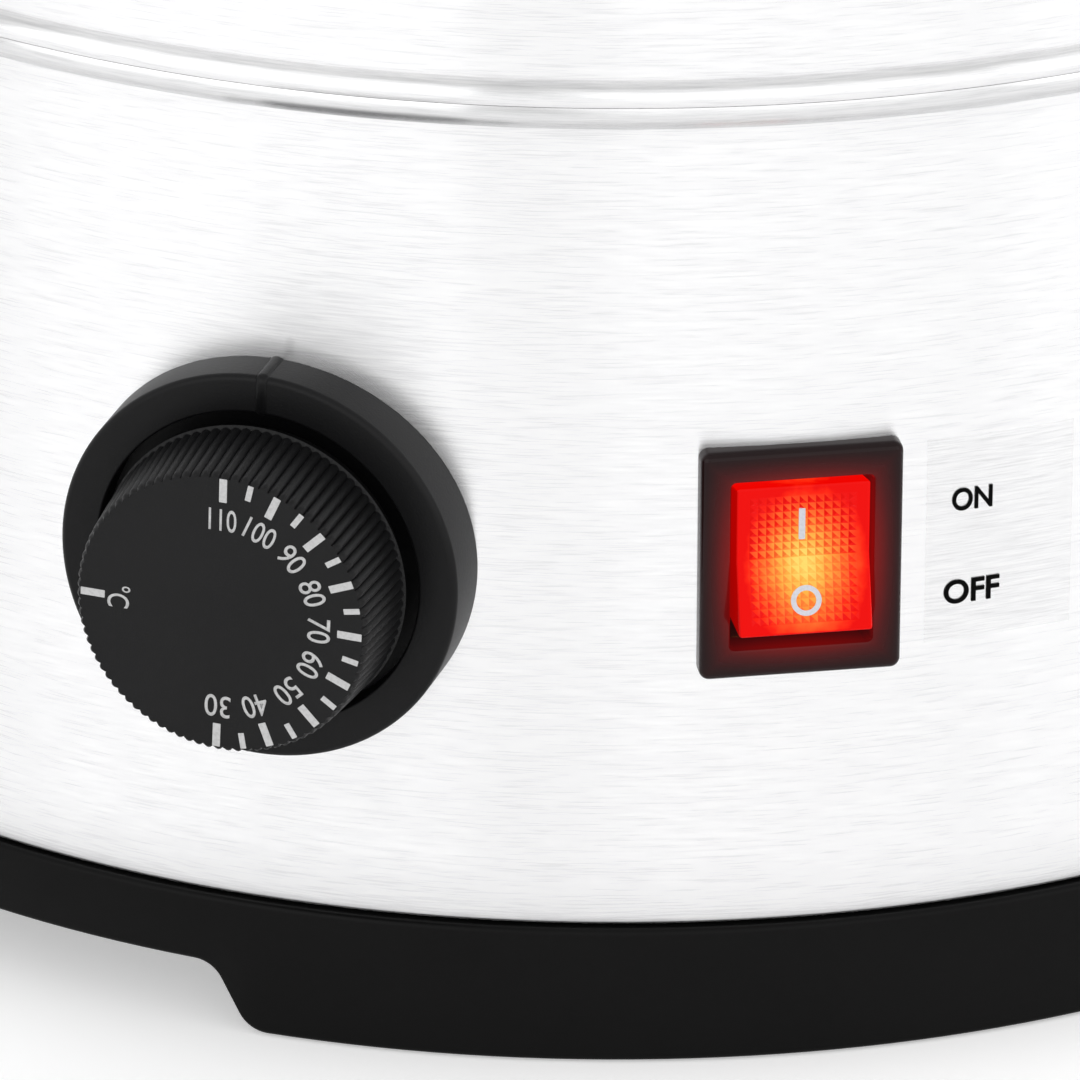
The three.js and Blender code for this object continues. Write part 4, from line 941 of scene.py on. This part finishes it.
def tank_and_pot():
    """The tank with its rolled lip, and the pot that lifts out of it."""
    lip = high("inner_tank", 0)
    top = high("inner_tank", 2)
    profile = rounded([
        (0, TANK_FLOOR, 0), (TANK, TANK_FLOOR, 8), (TANK, DRUM_TOP + GAP, 0), (DRUM + GAP, DRUM_TOP + GAP, 0),
        (DRUM + GAP, DRUM_TOP - LIP_DEPTH, 0.2), (lip, DRUM_TOP - LIP_DEPTH, 0.2), (lip, top, 0.9),
        (TANK - WALL, top, 1.2), (TANK - WALL, TANK_FLOOR + WALL, 7), (0, TANK_FLOOR + WALL, 0),
    ], 6)
    show(turned("tank_with_lip", profile, pot_steel, 240, crease=45), "base", "bright_steel", "inner_tank")
    seat, rim = low("lid_gasket", 2) - GAP, high("fermenting_pot", 0)
    under = seat - WALL
    pot_floor = low("fermenting_pot", 2)
    profile = rounded([
        (0, pot_floor, 0), (POT, pot_floor, 10), (POT, under, 1), (rim, under, 0.3),
        (rim, seat, 0.3), (POT - WALL, seat, 1.6), (POT - WALL, pot_floor + WALL, 9.2),
        (0, pot_floor + WALL, 0),
    ], 6)
    show(turned("lift_out_pot", profile, pot_steel, 240, crease=45), "pot", "bright_steel", "fermenting_pot")


def domed_lid():
    """A spun dome with a flat rim, and a short skirt that drops inside the pot's mouth."""
    rim = high("lid", 0)
    top = high("lid", 2)
    under = high("lid_gasket", 2) + GAP
    over = under + WALL
    foot = low("lid", 2)

    def dome(radius, drop):
        return over + (top - over) * (1 - (radius / SHOULDER) ** 2) ** 0.75 - drop

    shares = [1 - (1 - i / DOME_STEPS) ** 2 for i in range(1, DOME_STEPS + 1)]
    radii = [LID_HOLE + (SHOULDER - LID_HOLE) * share for share in shares]
    outer = [(LID_HOLE, dome(LID_HOLE, 0))]
    outer += [(radius, dome(min(radius, SHOULDER), 0)) for radius in radii]
    inner = [(radius - WALL * 0.6, max(under, dome(min(radius, SHOULDER), WALL * 1.2)))
             for radius in reversed(radii)]
    profile = outer + [
        (SHOULDER + 1, over), (rim - 0.4, over), (rim, over - 0.25), (rim, under + 0.2),
        (rim - 0.4, under), (SKIRT + 0.3, under), (SKIRT, under - 0.3), (SKIRT, foot),
        (SKIRT - WALL, foot), (SKIRT - WALL, under),
    ] + inner + [(LID_HOLE, dome(LID_HOLE, WALL))]
    show(turned("domed_lid", profile, lid_steel, 240, crease=45), "lid", "drum_steel", "lid")


def seal():
    """The silicone ring between the pot's flange and the lid."""
    low_edge, high_edge = low("lid_gasket", 2), high("lid_gasket", 2)
    outside = high("lid_gasket", 0)
    inside = outside - SEAL_WIDTH
    profile = rounded([(inside, low_edge, 0.7), (outside, low_edge, 0.7),
                       (outside, high_edge, 0.7), (inside, high_edge, 0.7)], 4)
    show(turned("silicone_seal", profile, seal_silicone, 180), "lid", "silicone", "lid_gasket")


def lid_knob():
    """The turned knob on the lid, and the screw that holds it from below."""
    base, crown, widest = low("lid_knob", 2), high("lid_knob", 2), high("lid_knob", 1)
    profile = rounded([
        (0, base, 0), (12, base, 0.5), (12, base + 2.4, 1.1), (8.6, base + 4.6, 2.2),
        (8.6, base + 11, 5), (widest + 0.2, base + 15.5, 3.2), (widest + 0.15, base + 23, 6),
        (11, crown, 12), (0, crown, 0)], 8)
    show(turned("lid_knob_moulding", profile, phenolic, 120), "lid", "handle_black", "lid_knob")
    tip = high("lid_screw", 2)
    place = Matrix.Translation((0, 0, tip)) @ Matrix.Rotation(math.pi, 4, "X")
    screw = round_head_screw("lid_knob_screw", place, 5, 2.5, 2.5, tip - low("lid_screw", 2))
    show(screw, "lid", "zinc_steel", "lid_screw")


tank_and_pot()
domed_lid()
seal()
lid_knob()

# ---------------------------------------------------------------- dial

BEZEL = 26.0
BEZEL_HOLE = 21.06
BEZEL_FRONT = 6.07
BEZEL_FLOOR = 1.8
BEZEL_BACK = -10.0
BEZEL_EDGE = 0.8
BEZEL_LIP = 0.35
POINTER_ANGLE = math.radians(88.3)
POINTER_HALF = 0.75
POINTER_PROUD = 0.32
KNOB_FACE = 18.9
KNOB_SKIRT = 19.93
KNOB_FRONT = 19.95
SKIRT_TOP = 7.64
KNOB_BACK = 4.9
RIB_COUNT = 90
RIB_DEPTH = 0.5


def bezel():
    """The ring round the knob, its back cut to the round of the drum."""
    profile = rounded([
        (SHAFT_HOLE, BEZEL_BACK, 0), (BEZEL, BEZEL_BACK, 0), (BEZEL, BEZEL_FRONT, BEZEL_EDGE),
        (BEZEL_HOLE, BEZEL_FRONT, BEZEL_LIP), (BEZEL_HOLE, BEZEL_FLOOR, 0),
        (SHAFT_HOLE, BEZEL_FLOOR, 0)], 6)
    ring = turned("dial_bezel_moulding", profile, bezel_plastic, 240)
    for vertex in ring.data.vertices:
        if abs(vertex.co.z / MM - BEZEL_BACK) < 1e-3:
            vertex.co.z = seat_on_drum(vertex.co / MM)[2] * MM
    ring.data.transform(metre_place(dial_place))
    show(joined("dial_bezel_moulding", [ring, pointer()]), "base", "dial_black", "dial_bezel")


def pointer():
    """A low round ridge up the bezel's side and across its face, at the top of the dial."""
    route = [(BEZEL, -1.5, 0), (BEZEL, 2, 0)]
    for i in range(7):
        turn = math.pi / 2 * i / 6
        route.append((BEZEL - BEZEL_EDGE + BEZEL_EDGE * math.cos(turn),
                      BEZEL_FRONT - BEZEL_EDGE + BEZEL_EDGE * math.sin(turn), turn))
    route += [(BEZEL_HOLE + BEZEL_LIP, BEZEL_FRONT, math.pi / 2),
              (BEZEL_HOLE, BEZEL_FRONT - BEZEL_LIP, math.pi)]
    rings = []
    for radius, height, turn in route:
        ring = []
        for k in range(9):
            share = k / 8 * 2 - 1
            lift = POINTER_PROUD * max(0.0, 1 - share ** 2) ** 0.5 - 0.02
            ring.append((share * POINTER_HALF, radius + lift * math.cos(turn),
                         height + lift * math.sin(turn)))
        for share in (1, -1):
            ring.append((share * POINTER_HALF, radius - 0.4 * math.cos(turn),
                         height - 0.4 * math.sin(turn)))
        rings.append(ring)
    turn = Matrix.Rotation(POINTER_ANGLE - math.pi / 2, 4, "Z")
    return lofted("pointer_ridge", rings, bezel_plastic, dial_place @ turn, 50)


def knob():
    """The knob's ribs from one rib turned round the dial, closed by its face and its back."""
    width = 2 * math.pi / RIB_COUNT
    shares = [-0.5, -0.4, -0.22, 0, 0.22, 0.4, 0.5]
    swell = [1 - abs(2 * share) ** 2.2 for share in shares]
    slope = (KNOB_FACE - KNOB_SKIRT) / (KNOB_FRONT - SKIRT_TOP)
    levels = [(KNOB_BACK, 1.1, 0), (SKIRT_TOP - 0.6, 0.8, 0), (SKIRT_TOP - 0.1, 0.0, 0.0),
              (SKIRT_TOP + 0.1, 0.2, 0.8), (SKIRT_TOP + 0.4, 0.2, 1), (12, 0, 1), (16, 0, 1),
              (KNOB_FRONT - 0.9, 0, 1), (KNOB_FRONT - 0.35, 0.05, 0.95), (KNOB_FRONT, 0.35, 0.55)]
    points = []
    for height, inset, depth in levels:
        outside = KNOB_SKIRT + max(0.0, height - SKIRT_TOP) * slope - inset
        for share, out in zip(shares, swell):
            radius = (outside - RIB_DEPTH * depth * (1 - out)) * MM
            turn = width * share
            points.append((radius * math.cos(turn), radius * math.sin(turn), height * MM))
    size = len(shares)
    faces = [(i * size + k, i * size + k + 1, (i + 1) * size + k + 1, (i + 1) * size + k)
             for i in range(len(levels) - 1) for k in range(size - 1)]
    mesh = bpy.data.meshes.new("dial_knob_moulding")
    mesh.from_pydata(points, [], faces)
    unit = new_object("dial_knob_moulding", mesh)
    made = copied(unit, copies_round_axis, knob_plastic, Count=RIB_COUNT, Start=0.0, Step=width)
    closed(made, knob_plastic, 40)
    made.data.transform(metre_place(dial_place))
    show(made, "dial", "dial_black", "dial_knob")


MARK_STEP = math.radians(11.3)
SCALE_TOP = 110
SCALE_BOTTOM = 30
MARK_EDGE = 18.3
LONG_MARK = (3.15, 1.0)
SHORT_MARK = (2.1, 0.75)
OFF_ANGLE = math.radians(178.3)
NUMBER_RADIUS = 12.75
NUMBER_HEIGHT = 3.0
NUMBER_WIDTH = 3.35
LONG_NUMBER_WIDTHS = {110: 3.6, 100: 4.0}
SIGN_RADIUS = 13.3
SIGN_WIDTH = 3.0


def dial_marks():
    """Printed marks every 5 degrees, numbers every 10, and a mark for the off position."""
    parts = []

    def marks(name, size, count, start, step):
        block = [[(x + MARK_EDGE - size[0] / 2, y, z) for x, y in box_loop(*size, 0.05, 1)]
                 for z in (KNOB_FRONT - 0.1, KNOB_FRONT + 0.04)]
        unit = lofted(name, block, dial_ink)
        parts.append(copied(unit, copies_round_axis, dial_ink, dial_place,
                            Count=count, Start=start, Step=step))

    marks("long_marks", LONG_MARK, 9, POINTER_ANGLE, -2 * MARK_STEP)
    marks("short_marks", SHORT_MARK, 8, POINTER_ANGLE - MARK_STEP, -2 * MARK_STEP)
    marks("off_mark", LONG_MARK, 1, OFF_ANGLE, 0.0)

    def write(text, angle, radius, width, spin=0.0):
        word = lettering("dial_number", text, NUMBER_HEIGHT, dial_ink, width, weight=0.004)
        spot = (Matrix.Rotation(angle, 4, "Z") @ Matrix.Translation((radius, 0, KNOB_FRONT))
                @ Matrix.Rotation(-math.pi / 2 + spin, 4, "Z"))
        parts.append(put(word, dial_place @ spot))

    for k, number in enumerate(range(SCALE_TOP, SCALE_BOTTOM - 1, -10)):
        width = LONG_NUMBER_WIDTHS.get(number, NUMBER_WIDTH)
        write(str(number), POINTER_ANGLE - 2 * MARK_STEP * k, NUMBER_RADIUS, width)
    write("°C", OFF_ANGLE, SIGN_RADIUS, SIGN_WIDTH, math.pi)
    show(joined("dial_printing", parts), "dial", "dial_black")


bezel()
knob()
dial_marks()

# ---------------------------------------------------------------- rocker switch

SWITCH_FRONT = 2.1
SWITCH_BACK = -22
SWITCH_BODY = (21.6, 27.8)
SWITCH_BEZEL = (25.5, 31)
WELL_BOTTOM = -12
PIVOT = -4.8
TILT = math.radians(8.76)
ROCKER_HALF = 9.69
ROCKER_WIDTH = 16.9
ROCKER_MIDDLE = 2.53
PYRAMID_ROWS = 8
PYRAMID_COLUMNS = 13
PYRAMID_HEIGHT = 0.2
MARK_LEVELS = (0.05, 0.26)
rocker_place = switch_place @ Matrix.Translation((0, 0, PIVOT)) @ Matrix.Rotation(-TILT, 4, "X")


def switch_frame():
    """The switch's bezel on the drum, its body behind, and the well for the rocker."""
    rings = [level_ring(*SWITCH_BODY, 0.6, SWITCH_BACK), level_ring(*SWITCH_BODY, 0.6, -1.4)]
    rings.append([seat_on_drum(point) for point in level_ring(*SWITCH_BEZEL, 1.3, 0)])
    rings += rounded_front(SWITCH_BEZEL, 1.3, 1.1, SWITCH_FRONT, 6)
    for growth, radius, drop in ((1.1, 0.9, 0), (0.5, 0.8, 0.12), (0.1, 0.7, 0.5)):
        rings.append(level_ring(WELL[0] + growth, WELL[1] + growth, radius, SWITCH_FRONT - drop))
    rings.append(level_ring(*WELL, 0.6, WELL_BOTTOM))
    made = lofted("switch_bezel_moulding", rings, switch_plastic, switch_place, 36)
    show(made, "base", "switch_black", "switch_frame")


def rocker():
    """The lens, its two sheets of small pyramids, and the printed bar and ring."""
    crease = ROCKER_MIDDLE - PIVOT
    tip = crease + ROCKER_HALF * math.tan(TILT)
    outline = [(-ROCKER_HALF, tip), (-ROCKER_HALF + 0.8, 1.5), (-5, -3.2), (5, -3.2),
               (ROCKER_HALF - 0.8, 1.5), (ROCKER_HALF, tip), (0, crease)]
    sides = [[(x, y, z) for y, z in outline] for x in (-ROCKER_WIDTH / 2, ROCKER_WIDTH / 2)]
    body = bevelled(lofted("rocker_lens", sides, lens, rocker_place), 0.4, 3, 25)
    parts = [body]
    for side in (-1, 1):
        half = ROCKER_PITCH * 0.5
        unit = bpy.data.meshes.new("pyramid")
        unit.from_pydata([(-half * MM, -half * MM, 0), (half * MM, -half * MM, 0),
                          (half * MM, half * MM, 0), (-half * MM, half * MM, 0), (0, 0, PYRAMID_HEIGHT * MM)],
                         [], [(0, 1, 4), (1, 2, 4), (2, 3, 4), (3, 0, 4)])
        pyramid = new_object("pyramid", unit)
        spot = (rocker_place @ Matrix.Translation((0, 0, crease + 0.01))
                @ Matrix.Rotation(side * TILT, 4, "X")
                @ Matrix.Translation((0, side * (PYRAMID_ROWS * ROCKER_PITCH / 2 + 0.05), 0)))
        sheet = copied(pyramid, copies_on_grid, lens, spot, 5.0,
                       Columns=PYRAMID_COLUMNS, Rows=PYRAMID_ROWS,
                       Width=(PYRAMID_COLUMNS - 1) * ROCKER_PITCH * MM,
                       Height=(PYRAMID_ROWS - 1) * ROCKER_PITCH * MM)
        closed(sheet, lens, 5.0)
        parts.append(sheet)
    show(joined("rocker_lens", parts), "rocker", "rocker_red", "switch_rocker")
    face = rocker_place @ Matrix.Translation((0, 0, crease))
    top = face @ Matrix.Rotation(TILT, 4, "X")
    bottom = face @ Matrix.Rotation(-TILT, 4, "X")
    bar = lofted("rocker_on_bar", [[(x - 0.2, y + 4.6, z) for x, y in box_loop(0.8, 4.2, 0.1, 2)]
                                   for z in MARK_LEVELS], switch_ink, top)
    under, over = MARK_LEVELS
    ring = turned("rocker_off_ring", [(1.27, under), (1.93, under), (1.93, over), (1.27, over)],
                  switch_ink, 64, bottom @ Matrix.Translation((0.15, -5.5, 0)))
    show(joined("rocker_marks", [bar, ring]), "rocker", "rocker_red")


def label():
    """A clear film beside the switch with ON over OFF, bent round the drum."""
    left, right = (math.degrees(math.asin(reach("on_off_label", 0) / DRUM))
                   for reach in (low, high))
    bottom, top = low("on_off_label", 2), high("on_off_label", 2)
    rings = []
    for i in range(17):
        angle = left + (right - left) * i / 16
        rings.append([around(DRUM + r, angle, z)
                      for r, z in ((0.02, bottom), (0.09, bottom), (0.09, top), (0.02, top))])
    sheet = lofted("label_film", rings, film, crease=50)
    show(sheet, "base", "label_film", "on_off_label")
    words = []
    for text, angle, height, size, width in (("ON", 22.68, 75.35, 3.1, 5.35),
                                             ("OFF", 22.74, 62.7, 3.3, 7.4)):
        word = lettering("label_word", text, size, label_ink, width, weight=0.022, thickness=0.03)
        for vertex in word.data.vertices:
            turn = angle + math.degrees(vertex.co.x / DRUM)
            vertex.co = Vector(around(DRUM + 0.1 + vertex.co.z, turn, height + vertex.co.y)) * MM
        words.append(word)
    show(joined("label_words", words), "base", "label_film")


switch_frame()
rocker()
label()

# ---------------------------------------------------------------- power inlet


INLET_HOUSING = (64, 44)
INLET_FACE = 15.7
INLET_SCREW_REACH = 20
SOCKET_BODY = (28, 20.4)
SOCKET_FLANGE = (50, 27)
SOCKET_CAVITY = (24.6, 16.6)
CAVITY_CORNERS = (4.6, 4.6, 0.8, 0.8)
CAVITY_DEPTH = 17


def inlet():
    """The inlet's housing on the back of the drum, its connector and its two screws."""
    rings = [[seat_on_drum(point) for point in level_ring(*INLET_HOUSING, 6, 0)]]
    rings += rounded_front(INLET_HOUSING, 6, 2.2, INLET_FACE, 6, 0.8)
    rings += [level_ring(*INLET_HOLE, 0.5, INLET_FACE), level_ring(*INLET_HOLE, 0.5, 0.5)]
    show(lofted("inlet_housing_moulding", rings, base_plastic, inlet_place, 36),
         "base", "base_black", "inlet_housing")
    front = high("inlet_socket", 1) - DRUM
    seat = INLET_FACE + 0.1
    rings = [level_ring(*SOCKET_BODY, 0.6, -8), level_ring(*SOCKET_BODY, 0.6, seat),
             level_ring(*SOCKET_FLANGE, 5, seat)]
    rings += rounded_front(SOCKET_FLANGE, 5, 0.8, front, 4)
    rings += [level_ring(SOCKET_CAVITY[0] + 0.6, SOCKET_CAVITY[1] + 0.6,
                         tuple(radius + 0.3 for radius in CAVITY_CORNERS), front),
              level_ring(*SOCKET_CAVITY, CAVITY_CORNERS, front - 0.4),
              level_ring(*SOCKET_CAVITY, CAVITY_CORNERS, front - CAVITY_DEPTH)]
    show(lofted("inlet_socket_moulding", rings, dull_phenolic, inlet_place, 36),
         "base", "inner_plastic", "inlet_socket")
    for name, side in (("right", -1), ("left", 1)):
        node = f"inlet_screw_{name}"
        tip = low(node, 1) - DRUM
        spot = inlet_place @ Matrix.Translation((side * INLET_SCREW_REACH, 0, tip))
        screw = round_head_screw(f"inlet_fixing_{name}", spot, 2.8, 1.3, 1.5,
                                 high(node, 1) - low(node, 1))
        show(screw, "base", "zinc_steel", node)


inlet()

# ---------------------------------------------------------------- side handles


HANDLE_BAR = 16.0
HANDLE_BEND = 18.0
HANDLE_EDGE = 5.5


def handle(side, name):
    """A round edged bar bent out from the drum and back, its ends seated on the drum."""
    node = f"handle_{name}"
    reach = high(node, 0) if side > 0 else -low(node, 0)
    half = high(node, 1)
    level = (low(node, 2) + high(node, 2)) / 2
    section = box_loop(HANDLE_BAR, high(node, 2) - low(node, 2), HANDLE_EDGE)
    line_x, line_y = reach - HANDLE_BAR / 2, half - HANDLE_BAR / 2
    root = math.sqrt(DRUM ** 2 - line_y ** 2) - 6
    straight = line_x - HANDLE_BEND - root
    route = [(root + straight * k / 6, -line_y, 0.0) for k in range(6)]
    for k in range(13):
        turn = math.pi / 2 * k / 12
        route.append((line_x - HANDLE_BEND + HANDLE_BEND * math.sin(turn),
                      -line_y + HANDLE_BEND - HANDLE_BEND * math.cos(turn), turn))
    route += [(x, -y, math.pi - turn) for x, y, turn in reversed(route)]
    rings = []
    for x, y, turn in route:
        ring = []
        for across, up in section:
            point_x = x + across * math.sin(turn)
            point_y = y - across * math.cos(turn)
            limit = math.sqrt(max(0.0, (DRUM + 0.1) ** 2 - point_y ** 2))
            ring.append((side * max(point_x, limit), side * point_y, level + up))
        rings.append(ring)
    made = lofted(f"handle_moulding_{name}", rings, phenolic, None, 40)
    show(made, "base", "handle_black", node)


handle(1, "right")
handle(-1, "left")

# ---------------------------------------------------------------- pieces whose CAD shape stays

KEPT = {
    drum_steel: ["base_plate"],
    zinc_steel: ["base_screw_1", "base_screw_2", "base_screw_3", "base_screw_4", "heating_element",
                 "heater_bracket", "heater_nut", "thermostat_plate", "thermostat_screw_left",
                 "thermostat_screw_right", "handle_screw_left_front", "handle_screw_left_back",
                 "handle_screw_right_front", "handle_screw_right_back"],
    bright_brass: ["sensor_bulb", "capillary", "thermostat_shaft", "inlet_pin_line",
                   "inlet_pin_neutral", "inlet_pin_earth", "switch_terminal_1", "switch_terminal_2",
                   "switch_terminal_3", "switch_terminal_4"],
    cast_aluminium: ["heater_plate"],
    dull_phenolic: ["thermal_cutout", "thermostat_body"],
    steatite: ["terminal_block"],
    wire_rubber: ["wire_supply", "wire_switch", "wire_thermostat", "wire_heater"],
    wool: ["insulation"],
    neon: ["switch_lamp"],
}
for material, names in KEPT.items():
    for name in names:
        for slot in frame["nodes"][name].material_slots:
            slot.material = material

# ---------------------------------------------------------------- lights and stage

# The floor's own glow where it is seen or mirrored: it whitens the paper and keeps the shadow.
FLOOR_LIFT = 0.36
# How brightly the studio's walls light the object, where the walls themselves show as white.
STUDIO_LIGHT = 0.62
FLOOR_HALF = 9000


def seen_directly(tree):
    """One for a ray from the camera, from a polished surface or through glass, else zero."""
    path = add_node(tree, "ShaderNodeLightPath").outputs
    most = add_node(tree, "ShaderNodeMath", {
        0: path["Is Camera Ray"], 1: path["Is Glossy Ray"]}, operation="MAXIMUM")
    return add_node(tree, "ShaderNodeMath", {
        0: most.outputs[0], 1: path["Is Transmission Ray"]}, operation="MAXIMUM").outputs[0]


def floor_material():
    """Matt white paper sweep, which shows white yet keeps the object's shadow."""
    material, tree, shader = new_material("matt_paper_sweep", Roughness=0.9)
    shader.inputs["Specular IOR Level"].default_value = 0.1
    cloud = stretched_noise(tree, (3, 3, 3))
    tree.links.new(ramp(tree, cloud, [(0.3, colour("#f4f4f4")), (0.7, colour("#f7f7f7"))]),
                   shader.inputs["Base Color"])
    shader.inputs["Emission Color"].default_value = (1, 1, 1, 1)
    tree.links.new(between(tree, seen_directly(tree), 0.0, FLOOR_LIFT),
                   shader.inputs["Emission Strength"])
    return material


def softbox(name, turn, distance, height, size, radiance, roll=0.0):
    """A studio softbox at a turn round the object, upright and facing it."""
    data = bpy.data.lights.new(name, "AREA")
    data.shape = "RECTANGLE"
    data.size, data.size_y = size
    data.energy = radiance * math.pi * size[0] * size[1]
    lamp = new_object(name, data)
    angle = math.radians(turn)
    place = Vector((distance * math.sin(angle), -distance * math.cos(angle), height))
    facing = Vector((-math.sin(angle), math.cos(angle), 0)).to_track_quat("-Z", "Y").to_matrix()
    spin = Matrix.Rotation(math.radians(roll), 3, "Z")
    lamp.matrix_world = Matrix.Translation(place) @ (facing @ spin).to_4x4()
    lamp.visible_camera = False


def stage():
    """The white studio round the object: its walls, its paper floor and four softboxes."""
    bpy.context.scene.view_settings.view_transform = "Standard"
    world = bpy.data.worlds.new("studio")
    bpy.context.scene.world = world
    world.use_nodes = True
    tree = world.node_tree
    background = tree.nodes["Background"]
    background.inputs["Color"].default_value = (1, 1, 1, 1)
    tree.links.new(between(tree, seen_directly(tree), STUDIO_LIGHT, 1.0),
                   background.inputs["Strength"])
    corners = [(x * FLOOR_HALF, y * FLOOR_HALF, 0) for x, y in ((-1, -1), (1, -1), (1, 1), (-1, 1))]
    floor = piece("floor", corners, [(0, 1, 2, 3)], floor_material())
    softbox("left_softbox", -34.9, distance=2.31, height=1.1, size=(2.1, 2.0), radiance=0.95)
    softbox("right_softbox", 21, distance=2.3, height=1.1, size=(1.77, 2.0), radiance=0.6, roll=14)
    softbox("far_right_softbox", 60, distance=2.3, height=1.1, size=(1.2, 2.0), radiance=0.9)
    softbox("back_softbox", 190, distance=2.6, height=1.2, size=(2.4, 2.0), radiance=1.0)


stage()
